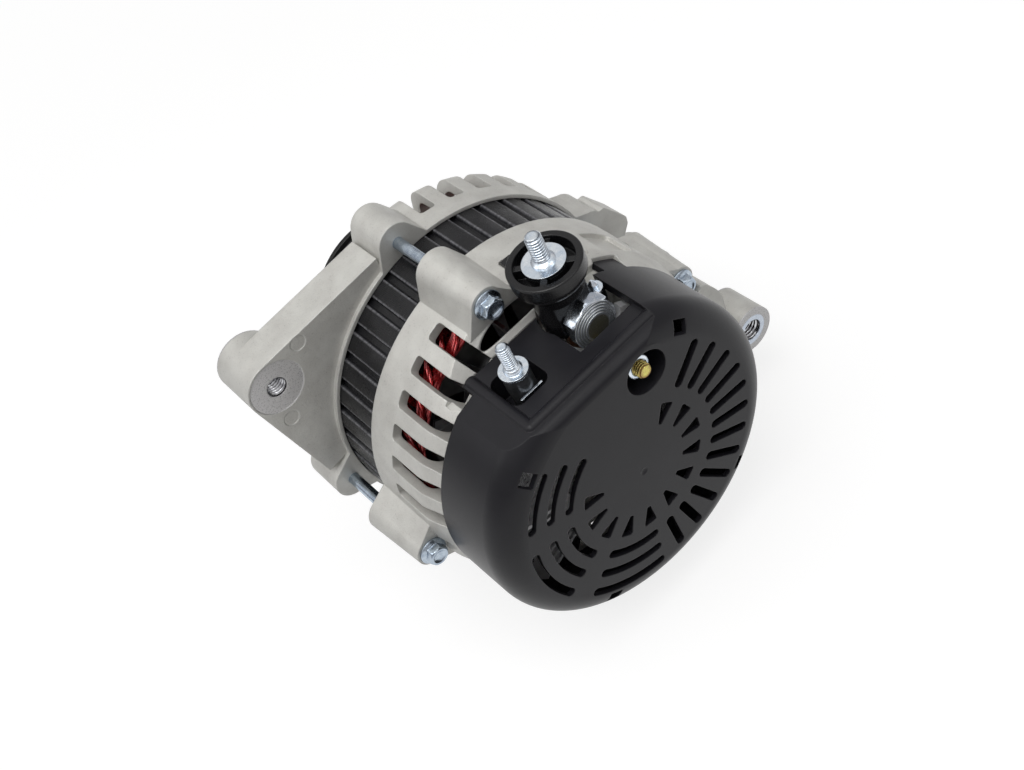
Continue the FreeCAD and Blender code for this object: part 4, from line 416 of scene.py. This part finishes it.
def ringMesh(name, rings, stands, sharp=35.0, groove=None, sleeve=False, extra=None):
    # rings has the shape (tubes, rings, points round, 3), and neighbours on the grid make the quads; groove
    # is 0 to 1 at each point: painted shade in thread grooves and at step feet, and the core's painted bright
    # line;
    # a sleeve joins its last ring to its first; extra names the finish of a piece that only adds to the node
    # it is on
    tubes, rows, around = rings.shape[:3]
    index = np.arange(tubes * rows * around).reshape(tubes, rows, around)
    caps = np.concatenate([index[:, 0, ::-1], index[:, -1]])
    if sleeve:
        index = np.concatenate([index, index[:, :1]], axis=1)
        caps = caps[:0]
    turned = np.roll(index, -1, axis=2)
    quads = np.stack([index[:, :-1], turned[:, :-1], turned[:, 1:], index[:, 1:]], axis=-1).reshape(-1, 4)
    mesh = bpy.data.meshes.new(name)
    mesh.from_pydata(rings.reshape(-1, 3).tolist(), [], quads.tolist() + caps.tolist())
    mesh.polygons.foreach_set("use_smooth", np.ones(len(mesh.polygons), dtype=bool))
    mesh.set_sharp_from_angle(angle=math.radians(sharp))
    if groove is not None:
        values = mesh.attributes.new("groove", "FLOAT", "POINT")
        values.data.foreach_set("value", groove.ravel().astype(np.float32))
    mesh.update()
    piece = bpy.data.objects.new(name, mesh)
    bpy.context.collection.objects.link(piece)
    slot = slotOf[stands]
    mesh.materials.append(ownFinishes.get(extra or stands, finishes[slot]))
    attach(piece, bodyOf[stands])
    if extra is None:
        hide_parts(stands)
    return piece


directions = {
    "Y": (np.array((0.0, 0.0, 1.0)), np.array((1.0, 0.0, 0.0)), np.array((0.0, 1.0, 0.0))),
    "Z": (np.array((1.0, 0.0, 0.0)), np.array((0.0, 1.0, 0.0)), np.array((0.0, 0.0, 1.0))),
}


def turnedRings(axis, centre, along, radius, angle=None):
    # a point is the centre, plus along times the axis, plus radius times the unit circle round it
    across, beside, up = directions[axis]
    if angle is None:
        angle = np.linspace(0.0, 2 * np.pi, radius.shape[-1], endpoint=False)
    circle = across * np.cos(angle)[:, None] + beside * np.sin(angle)[:, None]
    along = np.broadcast_to(along, radius.shape)
    return np.asarray(centre) + along[..., None] * up + radius[..., None] * circle


def stackRings(rows, around):
    # rows are (along, radius) pairs in millimetres; a radius is one number, or one for each point round
    along = np.array([row[0] for row in rows])[:, None] * mm
    radius = np.concatenate([np.broadcast_to(row[1], (1, around)) for row in rows]) * mm
    return along, radius


middleRadius = 0.3  # the small flat that closes the end of a turned piece

thread = {
    "grooveHalf": 0.42,  # shares of the pitch: from a groove's middle to its rim, and the width of a flank
    "flank": 0.36,
    "runIn": 1.1,
    "ringsPerPitch": 12,
    "shade": 0.7,
    "tipSlope": 0.9,
}


def threadDepth(along, pitch, low, high, around, fadeOut=0.0):
    # 1 on the bottom of a V groove that climbs one pitch a turn and 0 on its flat crest, faded at the ends
    angle = np.linspace(0.0, 2 * np.pi, around, endpoint=False)[None, :]
    phase = np.mod((along - low) / pitch - angle / (2 * np.pi), 1.0)
    deep = np.clip((thread["grooveHalf"] - np.abs(phase - 0.5)) / thread["flank"], 0.0, 1.0)
    fade = np.clip((along - low) / (thread["runIn"] * pitch), 0.0, 1.0)
    if fadeOut > 0.0:
        fade = np.minimum(fade, np.clip((high - along) / fadeOut, 0.0, 1.0))
    return deep * fade


def threadedRadius(look, low, high, around):
    # radius = crest less depth times the groove, cut off by the chamfer's cone at the tip
    crest, depth, pitch, chamfer = (look[key] * mm for key in ("crest", "depth", "pitch", "chamfer"))
    along = np.linspace(low, high, int(round((high - low) / pitch * thread["ringsPerPitch"])) + 1)[:, None]
    deep = threadDepth(along, pitch, low, high, around)
    tip = crest - np.clip((along - (high - chamfer)) / chamfer, 0.0, 1.0) * chamfer * thread["tipSlope"]
    radius = np.minimum(crest - depth * deep, tip)
    return along, radius, np.broadcast_to(deep ** thread["shade"], radius.shape)


# Studs: a square or round head in the moulding, a plain neck and a rolled thread up to a chamfered tip.

studs = {
    "output_stud": {"over": "output_washer", "crest": 3.2, "depth": 0.75, "pitch": 1.25, "chamfer": 1.0,
                    "headHeight": 4.0, "foot": 4.6, "square": True},
    "signal_stud": {"over": "signal_washer", "crest": 2.6, "depth": 0.60, "pitch": 1.0, "chamfer": 0.9,
                    "headHeight": 3.5, "foot": 3.6, "square": False},
}
studShape = {
    "around": 48,
    "middle": 0.2,
    "headEdge": 0.3,
    "bluntCorner": 1.3,
    "footHeight": 0.5,
    "coneHeight": 1.6,
    "coneRim": 0.3,
    "sunk": 0.1,
    "tipShare": 0.45,
    "tipDish": 0.05,
}


def squareStretch(around):
    # distance to the side of a square over the distance to its middle, with blunt corners
    angle = np.linspace(0.0, 2 * np.pi, around, endpoint=False)
    longer = np.maximum(np.abs(np.cos(angle)), np.abs(np.sin(angle)))
    return np.minimum(1.0 / longer, studShape["bluntCorner"])[None, :]


def makeStud(node, look):
    # head and neck are a profile turned round the stud's axis, then comes the thread and its flat tip
    shape, around = studShape, studShape["around"]
    low, high = (np.array(corner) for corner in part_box(node))
    under, over = (np.array(corner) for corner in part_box(look["over"]))
    centre = np.array([(under[0] + over[0]) / 2, (under[1] + over[1]) / 2, 0.0])
    stretch = squareStretch(around) if look["square"] else 1.0
    bottom, washerTop, tip = low[2] / mm, over[2] / mm, high[2] / mm
    head, headTop, edge = (high[0] - low[0]) / 2 / mm, bottom + look["headHeight"], shape["headEdge"]
    seat, foot = washerTop - shape["sunk"], washerTop + shape["coneHeight"]
    crest, root = look["crest"], look["crest"] - look["depth"]
    plainAlong, plain = stackRings([
        (bottom, shape["middle"] * stretch), (bottom, (head - edge) * stretch),
        (bottom + edge, head * stretch), (headTop - edge, head * stretch), (headTop, (head - edge) * stretch),
        (headTop, root), (seat, root), (seat, look["foot"]), (washerTop + shape["footHeight"], look["foot"]),
        (foot - shape["sunk"], crest + shape["coneRim"]), (foot, crest - look["depth"] * 0.3)], around)
    threadAlong, threaded, deep = threadedRadius(look, foot * mm, high[2], around)
    capRows = [(tip, crest * shape["tipShare"]), (tip - shape["tipDish"], shape["middle"])]
    capAlong, cap = stackRings(capRows, around)
    along = np.concatenate([plainAlong, threadAlong, capAlong])
    radius = np.concatenate([plain, threaded, cap])
    # the groove's depth also sets the painted shade in the thread's roots
    groove = np.concatenate([plain * 0.0, deep, cap * 0.0])
    ringMesh(node.replace("_stud", "Stud"), turnedRings("Z", centre, along, radius)[None], node, 40.0, groove)


for node, look in studs.items():
    makeStud(node, look)
print("studs made:", len(studs))

# Long bolts: plain shank, round flange that slopes up to a hexagon with a chamfered top and a dished middle.

bolts = {
    "angles": (4.6, 94.6, 184.6, 275.8),
    "circles": (74.3, 74.3, 74.3, 71.1),
    "shank": 2.5,
    "point": 1.9,
    "pointLength": 0.6,
    "flange": 5.9,
    "flangeRim": 0.9,
    "flangeEdge": 0.25,
    "slopeHeight": 0.75,
    "flats": 8.0,
    "headHeight": 5.2,
    "dish": 2.7,
    "dishDepth": 0.8,
    "turnOfEach": 0.4,
    "around": 72,
}


def hexStretch(around, turn):
    # distance to the side of a hexagon over the distance to its middle, in a direction
    angle = np.linspace(0.0, 2 * np.pi, around, endpoint=False) - turn
    return 1.0 / np.cos(np.mod(angle + np.pi / 6, np.pi / 3) - np.pi / 6)


def hexSides(flats, around, turn):
    # half the width over the flats, the distance to a corner, and the distance to the side all round
    half = flats / 2
    return half, half / math.cos(math.pi / 6), half * hexStretch(around, turn)[None, :]


def makeBolts():
    # one profile of radii along the bolt's axis; in the chamfer the hexagon is held under a smaller circle
    look, around = bolts, bolts["around"]
    low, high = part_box("through_bolts")
    bottom, top = low.y / mm, high.y / mm
    seat, shank, flange, edge = top - look["headHeight"], look["shank"], look["flange"], look["flangeEdge"]
    rim, dish, depth = seat + look["flangeRim"], look["dish"], look["dishDepth"]
    slope = rim + look["slopeHeight"]
    tubes = []
    for index, (degrees, circle) in enumerate(zip(look["angles"], look["circles"])):
        turn = math.radians(degrees)
        place = np.array([math.sin(turn), 0.0, math.cos(turn)]) * circle * mm
        half, corner, side = hexSides(look["flats"], around, turn + look["turnOfEach"] * index)
        rows = [
            # shank
            (bottom, middleRadius), (bottom, look["point"]), (bottom + look["pointLength"], shank),
            # flange
            (seat, shank), (seat, flange - edge), (seat + edge, flange), (rim, flange),
            (rim + 0.2, flange - 0.2),
            # foot of the hexagon
            (slope, np.maximum(side * 1.02, corner * 0.995)), (slope + 0.2, side),
            # chamfer
            (top - 0.9, np.minimum(side, corner + 0.1)), (top - 0.45, np.minimum(side, half + 0.3)),
            (top - 0.15, np.minimum(side, half - 0.05)), (top, half - 0.35),
            # dish
            (top - 0.05, dish + 0.3), (top - depth * 0.45, dish - 0.15), (top - depth * 0.9, dish - 0.9),
            (top - depth, 0.4),
        ]
        tubes.append(turnedRings("Y", place, *stackRings(rows, around)))
    ringMesh("longBolts", np.array(tubes), "through_bolts", 28.0)


makeBolts()
print("bolts made")

# The stud and flanged nut in the cover's well.

well = {
    "stud": {"crest": 3.1, "depth": 0.65, "pitch": 1.0, "chamfer": 0.8},
    "threadLength": 14.0,
    "plain": 2.0,
    "tip": 1.2,
    "middle": 0.2,
    "flats": 8.0,
    "flange": 5.0,
    "flangeHeight": 1.2,
    "proud": 2.0,
    "turn": 20.0,
    "around": 60,
}


def makeWell():
    # the stud is a plain foot and a thread; the nut is a hexagon under a round flange, open for the stud
    look, stud, around = well, well["stud"], well["around"]
    low, high = (np.array(corner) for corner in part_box("cover_stud"))
    place = (low + high) / 2 * np.array((1.0, 0.0, 1.0))
    bottom, top = low[1] / mm, high[1] / mm
    start = top - look["threadLength"]
    footRows = [(bottom, look["middle"]), (bottom, look["plain"]), (start, look["plain"])]
    footAlong, foot = stackRings(footRows, around)
    along, radius, deep = threadedRadius(stud, start * mm, high[1], around)
    capAlong, cap = stackRings([(top, look["tip"]), (top, look["middle"])], around)
    along = np.concatenate([footAlong, along, capAlong])
    rings = turnedRings("Y", place, along, np.concatenate([foot, radius, cap]))
    # the groove's depth also sets the painted shade in the thread's roots
    groove = np.concatenate([foot * 0.0, deep, cap * 0.0])
    ringMesh("coverStud", rings[None], "cover_stud", 40.0, groove)
    low, high = (np.array(corner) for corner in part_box("cover_nut"))
    bottom, top = low[1] / mm, high[1] / mm + look["proud"]
    half, _, side = hexSides(look["flats"], around, math.radians(look["turn"]))
    rim, bore, under = look["flange"], stud["crest"], top - look["flangeHeight"]
    rows = [(bottom, bore), (bottom, np.minimum(side, half + 0.1)), (bottom + 0.5, side), (under - 0.3, side),
            (under, rim - 0.3), (under + 0.25, rim), (top - 0.35, rim), (top - 0.1, rim - 0.3),  # flange
            (top, rim - 0.7), (top, bore + 0.5), (top - 0.5, bore)]  # face and chamfer of the bore
    ringMesh("coverNut", turnedRings("Y", place, *stackRings(rows, around))[None], "cover_nut", 30.0)


makeWell()
print("well made")

# The large hexagon behind the output stud and the washers on its face, a stack that steps inwards.

terminal = {
    "centre": (-17.2, 56.4),
    "flats": 17.4,
    "turn": 30.0,
    "shank": 4.0,
    "seat": 133.8,
    "face": 140.2,
    "washerCentre": (-17.2, 55.4),
    "washerRadius": 9.6,
    "steps": 5,
    "stepWidth": 0.95,
    "stepEdge": 0.12,
    "top": 142.0,
    "core": 4.6,
    "around": 72,
}


def onAxis(centre):
    # a point of the shaft's plane, given as x and z in millimetres
    return np.array((centre[0], 0.0, centre[1])) * mm


def makeTerminal():
    # the hexagon's radius is held under a circle that shrinks towards its face
    look, around, face = terminal, terminal["around"], terminal["face"]
    half, corner, side = hexSides(look["flats"], around, math.radians(look["turn"]))
    bottom, seat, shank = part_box("terminal_bolt")[0].y / mm, look["seat"], look["shank"]
    rows = [(bottom, middleRadius), (bottom, shank - 0.4), (bottom + 0.4, shank), (seat, shank),
            (seat, np.minimum(side, half + 0.2)), (seat + 0.5, np.minimum(side, corner - 0.2)),
            (seat + 0.8, side), (face - 1.1, np.minimum(side, corner - 0.02)),
            (face - 0.55, np.minimum(side, half + 0.55)), (face - 0.15, half - 0.1), (face, half - 0.6),
            (face, shank), (face, middleRadius)]
    rings = turnedRings("Y", onAxis(look["centre"]), *stackRings(rows, around))
    ringMesh("terminalBolt", rings[None], "terminal_bolt", 25.0)
    # along, radius and shade of each ring; the foot of a step is dark, and so is the middle
    rows = [(face, middleRadius, 0.0)]
    rise = (look["top"] - face) / look["steps"]
    for step in range(look["steps"]):
        radius, start = look["washerRadius"] - look["stepWidth"] * step, face + rise * step
        rows += [(start, radius, 0.9), (start + rise * 0.7, radius, 0.1),
                 (start + rise, radius - look["stepEdge"], 0.0),
                 (start + rise, radius - look["stepWidth"] + look["stepEdge"], 0.15)]
    rows += [(look["top"], look["core"], 0.75), (look["top"], middleRadius, 0.85)]
    along, radius = stackRings(rows, around)
    groove = np.array([row[2] for row in rows])[:, None] * np.ones((1, around))
    rings = turnedRings("Y", onAxis(look["washerCentre"]), along, radius)
    ringMesh("terminalWashers", rings[None], "terminal_washers", 30.0, groove)


makeTerminal()
print("terminal made")

# Stator core: lacquered steel sheets whose rim has a land and a groove every ten degrees.

core = {
    "ribs": 36,
    "firstGroove": 4.1,
    "grooveWidth": 3.3,
    "grooveDepth": 1.5,
    "cornerWidth": 0.75,
    "bulge": 0.28,
    "bore": 50.0,
    "rimChamfer": 0.25,
    "cornerPoints": 7,
    "landPoints": 12,
    "rubHighlightShift": 0.55,
    "rubHighlightWidth": 0.30,
}


def makeCore():
    # radius = outer radius less a parabola over each land, falling through a smooth step into each groove;
    # the bright line, partly rubbed varnish and partly a painted highlight, is a bell curve just inside that
    # step
    look = core
    low, high = (np.array(corner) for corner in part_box("stator_core"))
    outer = (high[2] - low[2]) / 2
    pitch = 2 * np.pi * outer / look["ribs"]
    half, corner = look["grooveWidth"] / 2 * mm, look["cornerWidth"] * mm
    steep = np.linspace(-0.5, 0.5, look["cornerPoints"]) * corner
    land = np.linspace(half + corner * 0.75, pitch - half - corner * 0.75, look["landPoints"])
    spots = np.concatenate([half + steep, land, pitch - half + steep])
    inside = np.minimum(spots, pitch - spots) - half
    step = np.clip(inside / corner + 0.5, 0.0, 1.0)
    step = step * step * (3.0 - 2.0 * step)
    middle = (spots - pitch / 2) / (pitch / 2 - half)
    crown = look["bulge"] * mm * np.clip(middle, -1.0, 1.0) ** 2
    radius = outer - crown - look["grooveDepth"] * mm * (1.0 - step)
    edge = np.exp(-((inside - corner * look["rubHighlightShift"]) / (look["rubHighlightWidth"] * mm)) ** 2)
    base = math.radians(look["firstGroove"]) + 2 * np.pi / look["ribs"] * np.arange(look["ribs"])
    angle = (base[:, None] + spots / pitch * 2 * np.pi / look["ribs"]).ravel()
    ring = np.tile(radius, look["ribs"])[None, :]
    edge = np.tile(edge, look["ribs"])[None, :]
    chamfer = look["rimChamfer"] * mm
    bore = np.full_like(ring, look["bore"] * mm)
    along = np.array([[low[1]], [low[1] + chamfer], [high[1] - chamfer], [high[1]], [high[1]], [low[1]]])
    radius = np.concatenate([ring - chamfer, ring, ring, ring - chamfer, bore, bore])
    # the bright line is painted highlight and rubbed varnish; the bore gets none
    rubHighlightLine = np.concatenate([edge, edge, edge, edge, edge * 0.0, edge * 0.0])
    rings = turnedRings("Y", np.zeros(3), along, radius, angle)
    ringMesh("laminatedStack", rings[None], "stator_core", 32.0, rubHighlightLine, True)


makeCore()
print("core made")

# Tapped bores of the adjuster ear and the pivot bush: thin sleeves whose inner side is the thread.

tappedBores = {
    "earThread": {"node": "front_bracket", "centre": (75.5, 58.7), "radius": 4.25,
                  "low": 33.2, "high": 57.1},
    "pivotThread": {"node": "pivot_bush", "centre": (-92.6, -44.0), "radius": 5.1,
                    "low": 96.4, "high": 119.6},
}
tappedShape = {"depth": 0.75, "pitch": 1.5, "around": 60, "inWall": 0.05, "shade": 1.5}


def makeTappedBore(name, look):
    # out along the bore's wall and back along the thread, whose radius is the bore's less the groove's depth
    shape, around = tappedShape, tappedShape["around"]
    low, high, pitch = look["low"] * mm, look["high"] * mm, shape["pitch"] * mm
    inner = np.linspace(high, low, int((high - low) / pitch * thread["ringsPerPitch"]))[:, None]
    deep = threadDepth(inner, pitch, low, high, around, pitch)
    wall = (look["radius"] + shape["inWall"]) * mm
    ridges = wall - 2 * shape["inWall"] * mm - shape["depth"] * mm * deep
    along = np.concatenate([np.array([[low], [high]]), inner])
    radius = np.concatenate([np.full((2, around), wall), ridges])
    # painted shade in the thread's roots, where the wall lies deepest
    groove = np.concatenate([np.zeros((2, around)), (1.0 - deep) ** shape["shade"]])
    rings = turnedRings("Y", onAxis(look["centre"]), along, radius)
    ringMesh(name, rings[None], look["node"], 40.0, groove, True, "tapped_bore")


for name, look in tappedBores.items():
    makeTappedBore(name, look)
print("tapped bores made:", len(tappedBores))

# Stator winding: wires that leave one slot, lean over and drop into the slot three places on.

winding = {
    "slots": 36,
    "firstAngle": 4.1,
    "slotSpan": 3,
    "wires": 7,
    "wireRadius": 0.66,
    "inner": 53.1,
    "outer": 61.6,
    "height": 14.6,
    "rootSink": 0.6,
    "fan": 5.6,  # degrees from the first to the last wire of a slot
    "swirl": 0.55,
    "heights": (0.52, 0.46),  # share of the height of the lowest wire, and how much the highest has more
    "archPower": 0.55,
    "leans": (0.45, 0.5),
    "jitter": {"swing": 0.8, "side": 0.45, "height": 0.03, "lean": 0.10},
    "points": 22,
    "around": 6,
    "slotHalf": 2.1,
    "barProud": 1.0,
    "barAround": 16,
    "seed": 7,
}


def sweepRings(paths, radius, around, wide=1.0):
    # round each path point stand a vector away from the shaft and one across it, both square to the path
    tangent = np.gradient(paths, axis=1)
    tangent /= np.linalg.norm(tangent, axis=-1, keepdims=True)
    outward = paths * np.array((1.0, 0.0, 1.0))
    outward /= np.linalg.norm(outward, axis=-1, keepdims=True)
    outward = outward - (outward * tangent).sum(-1, keepdims=True) * tangent
    outward /= np.linalg.norm(outward, axis=-1, keepdims=True)
    beside = np.cross(tangent, outward)
    angle = np.linspace(0.0, 2 * np.pi, around, endpoint=False)
    ring = outward[:, :, None] * np.cos(angle)[:, None] + beside[:, :, None] * np.sin(angle)[:, None] * wide
    return paths[:, :, None] + ring * radius


def endTurns(rng, root, direction):
    # the angle runs from slot to slot in a slow S, the height is an arch, and the radius crosses from the
    # outer to the inner layer as a cosine
    look, shake = winding, winding["jitter"]
    slots, wires, points = look["slots"], look["wires"], look["points"]
    t = np.linspace(0.0, 1.0, points)[None, None, :]
    slot = np.arange(slots)[:, None, None]
    layer = (np.arange(wires)[None, :, None] + 0.5) / wires
    step = 360.0 / slots
    jitter = rng.uniform(-1.0, 1.0, (4, slots, wires, 1))
    swing = look["slotSpan"] * step + jitter[0] * shake["swing"]
    side = (layer - 0.5) * look["fan"] + jitter[1] * shake["side"]
    start = look["firstAngle"] + step * (slot + 0.5) + side
    angle = start + swing * (t - np.sin(2 * np.pi * t) / (2 * np.pi) * look["swirl"])
    lowest, more = look["heights"]
    share = lowest + more * layer + shake["height"] * jitter[2]
    height = look["height"] * share * np.sin(np.pi * t) ** look["archPower"]
    middle, reach = (look["outer"] + look["inner"]) / 2, (look["outer"] - look["inner"]) / 2
    least, most = look["leans"]
    lean = np.cos(np.pi * t) * (least + most * (1.0 - layer)) + shake["lean"] * jitter[3]
    radius = middle + reach * np.clip(lean, -1.0, 1.0)
    angle, height, radius = np.broadcast_arrays(angle, height, radius)
    turn = np.radians(angle)
    along = root + direction * (height - look["rootSink"]) * mm
    paths = np.stack([radius * mm * np.sin(turn), along, radius * mm * np.cos(turn)], axis=-1)
    return paths.reshape(slots * wires, points, 3)


def makeWinding():
    # a bar fills each slot, as a flattened tube along the shaft; the end turns are tubes along their paths
    look = winding
    rng = np.random.default_rng(look["seed"])
    low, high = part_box("stator_core")
    for name, root, direction in (("rearEndTurns", high.y, 1.0), ("frontEndTurns", low.y, -1.0)):
        rings = sweepRings(endTurns(rng, root, direction), look["wireRadius"] * mm, look["around"])
        ringMesh(name, rings, "stator_winding", 60.0)
    slots, proud = look["slots"], look["barProud"] * mm
    turn = np.radians(look["firstAngle"] + 360.0 / slots * (np.arange(slots) + 0.5))[:, None]
    along = np.linspace(low.y - proud, high.y + proud, 3)[None, :]
    middle, reach = (look["outer"] + look["inner"]) / 2 * mm, (look["outer"] - look["inner"]) / 2
    bars = np.stack(np.broadcast_arrays(middle * np.sin(turn), along, middle * np.cos(turn)), axis=-1)
    rings = sweepRings(bars, reach * mm, look["barAround"], look["slotHalf"] / reach)
    ringMesh("slotBars", rings, "stator_winding", 60.0)


makeWinding()
print("winding made")

# Brush springs: round wire coils whose end turns lie close.

brushSprings = {
    "wireRadius": 0.35,
    "coilRadius": 1.8,
    "turns": 6.5,
    "closedTurns": 0.8,
    "closedPitch": 0.74,
    "foot": -32.33,
    "tip": -20.43,
    "perTurn": 40,
    "around": 12,
    "pressedShare": 0.58,
    "middles": {"inner": 132.7, "outer": 140.9},
}


def makeBrushSpring(side, middle, look):
    # the height climbs one closed pitch a turn at both ends and evenly between them; the wire is a circle of
    # its radius round the point at the coil's radius
    turns, closed, wire = look["turns"], look["closedTurns"], look["wireRadius"]
    turn = np.linspace(0.0, turns, int(turns * look["perTurn"]) + 1)
    low, high, rise = look["foot"] + wire, look["tip"] - wire, closed * look["closedPitch"]
    height = np.interp(turn, [0.0, closed, turns - closed, turns], [low, low + rise, high - rise, high])
    angle = np.linspace(0.0, 2 * np.pi, look["around"], endpoint=False)[None, :]
    reach, swing = look["coilRadius"] + wire * np.sin(angle), 2 * np.pi * turn[:, None]
    along = height[:, None] + wire * np.cos(angle)
    rings = np.stack([reach * np.cos(swing), middle + reach * np.sin(swing), along], axis=-1) * mm
    piece = ringMesh(side + "BrushSpring", rings[None], side + "_brush_spring", 60.0)
    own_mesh(piece)


for side, middle in brushSprings["middles"].items():
    makeBrushSpring(side, middle, brushSprings)
print("brush springs made")

# Studio: pale floor, soft lamps, and the camera where the photograph was taken from.

studio = {
    "floorSize": 8.0,
    "floorColour": (0.30, 0.30, 0.30),
    "floorGlow": (0.79, 0.92),  # near the object and far from it
    "glowReach": (0.4, 2.2),
    # the sky's tint and strength at the horizon and straight above
    "low": (0.96, 0.94, 0.98),
    "high": (1.0, 1.0, 0.97),
    "diffuse": (0.06, 0.40),
    "glossy": (0.30, 1.0),
    "aim": (0.0, 0.09, 0.0),
}

lamps = {
    "keyLamp": {"place": (0.30, 0.25, 1.25), "size": (0.9, 0.9), "power": 9.0},
    "rearLamp": {"place": (-0.55, 0.85, 0.90), "size": (0.6, 0.6), "power": 1.6},
    "sideLamp": {"place": (0.95, -0.45, 0.85), "size": (0.6, 0.8), "power": 1.8},
}

camera = {
    "place": (0.120267, 0.438761, 0.412772),
    "right": (-0.70982076, 0.62232221, -0.32995387),
    "down": (0.67220115, 0.45850424, -0.58130841),
    "forward": (-0.21047589, -0.63442015, -0.74378153),
    "lens": 47.856,
    "sensor": 36.0,
    "nearest": 0.01,
}


def makeFloor():
    # what the camera, gloss and glass see is its own glow, more where the lamps don't reach, and lit paper,
    # so a shadow still shows
    size = studio["floorSize"]
    low = cadBounds[0][2]
    corners = [(-size, -size, low), (size, -size, low), (size, size, low), (-size, size, low)]
    mesh = bpy.data.meshes.new("floor")
    mesh.from_pydata(corners, [], [(0, 1, 2, 3)])
    floor = bpy.data.objects.new("floor", mesh)
    bpy.context.collection.objects.link(floor)
    material, tree, shader = newMaterial("palePaper", studio["floorColour"], 0.0, 0.9, 0.0, 0.0)
    path = tree.nodes.new("ShaderNodeLightPath")
    seen = maths(tree, "MAXIMUM", path.outputs["Is Camera Ray"], path.outputs["Is Glossy Ray"])
    seen = maths(tree, "MAXIMUM", seen, path.outputs["Is Transmission Ray"])
    glow = tree.nodes.new("ShaderNodeEmission")
    away = tree.nodes.new("ShaderNodeVectorMath")
    away.operation = "LENGTH"
    tree.links.new(objectCoords(tree), away.inputs[0])
    even = spread(tree, away.outputs["Value"], *studio["floorGlow"], *studio["glowReach"])
    tree.links.new(maths(tree, "MULTIPLY", seen, even), glow.inputs["Strength"])
    both = tree.nodes.new("ShaderNodeAddShader")
    tree.links.new(shader.outputs["BSDF"], both.inputs[0])
    tree.links.new(glow.outputs["Emission"], both.inputs[1])
    tree.links.new(both.outputs["Shader"], tree.nodes["Material Output"].inputs["Surface"])
    mesh.materials.append(material)


def makeWorld():
    # light and gloss grow from the horizon to straight above; the camera and glass see plain white
    look = studio
    world = bpy.data.worlds.new("studio")
    world.use_nodes = True
    tree = world.node_tree
    soft = tree.nodes["Background"]
    way = tree.nodes.new("ShaderNodeTexCoord")
    axes = tree.nodes.new("ShaderNodeSeparateXYZ")
    tree.links.new(way.outputs["Generated"], axes.inputs["Vector"])
    lift = spread(tree, axes.outputs["Z"], 0.0, 1.0, 0.0, 1.0)
    path = tree.nodes.new("ShaderNodeLightPath")
    tint = blendColours(tree, lift, look["low"], look["high"])
    tint = blendColours(tree, path.outputs["Is Camera Ray"], tint, (1.0, 1.0, 1.0))
    tree.links.new(tint, soft.inputs["Color"])
    diffuse, glossy = (maths(tree, "MULTIPLY_ADD", lift, above - level, level)
                       for level, above in (look["diffuse"], look["glossy"]))
    glossy = maths(tree, "MULTIPLY", glossy, path.outputs["Is Glossy Ray"])
    seen = maths(tree, "MAXIMUM", path.outputs["Is Camera Ray"], path.outputs["Is Transmission Ray"])
    strength = maths(tree, "MAXIMUM", maths(tree, "MAXIMUM", diffuse, glossy), seen)
    tree.links.new(strength, soft.inputs["Strength"])
    bpy.context.scene.world = world


def makeLamp(name, look):
    data = bpy.data.lights.new(name, "AREA")
    data.shape = "RECTANGLE"
    data.size, data.size_y = look["size"]
    data.energy = look["power"]
    lamp = bpy.data.objects.new(name, data)
    place = Vector(look["place"])
    lamp.location = place
    lamp.rotation_euler = (Vector(studio["aim"]) - place).to_track_quat("-Z", "Y").to_euler()
    bpy.context.collection.objects.link(lamp)


def makeCamera():
    data = bpy.data.cameras.new("photoView")
    data.sensor_fit = "HORIZONTAL"
    data.sensor_width = camera["sensor"]
    data.lens = camera["lens"]
    data.clip_start = camera["nearest"]
    view = bpy.data.objects.new("photoView", data)
    right, down, forward = (Vector(camera[key]) for key in ("right", "down", "forward"))
    turn = Matrix((right, -down, -forward)).transposed()
    view.matrix_world = Matrix.Translation(camera["place"]) @ turn.to_4x4()
    bpy.context.collection.objects.link(view)
    bpy.context.scene.camera = view


makeFloor()
makeWorld()
for name, look in lamps.items():
    makeLamp(name, look)
makeCamera()
bpy.context.scene.view_settings.view_transform = "Standard"
print("studio set")
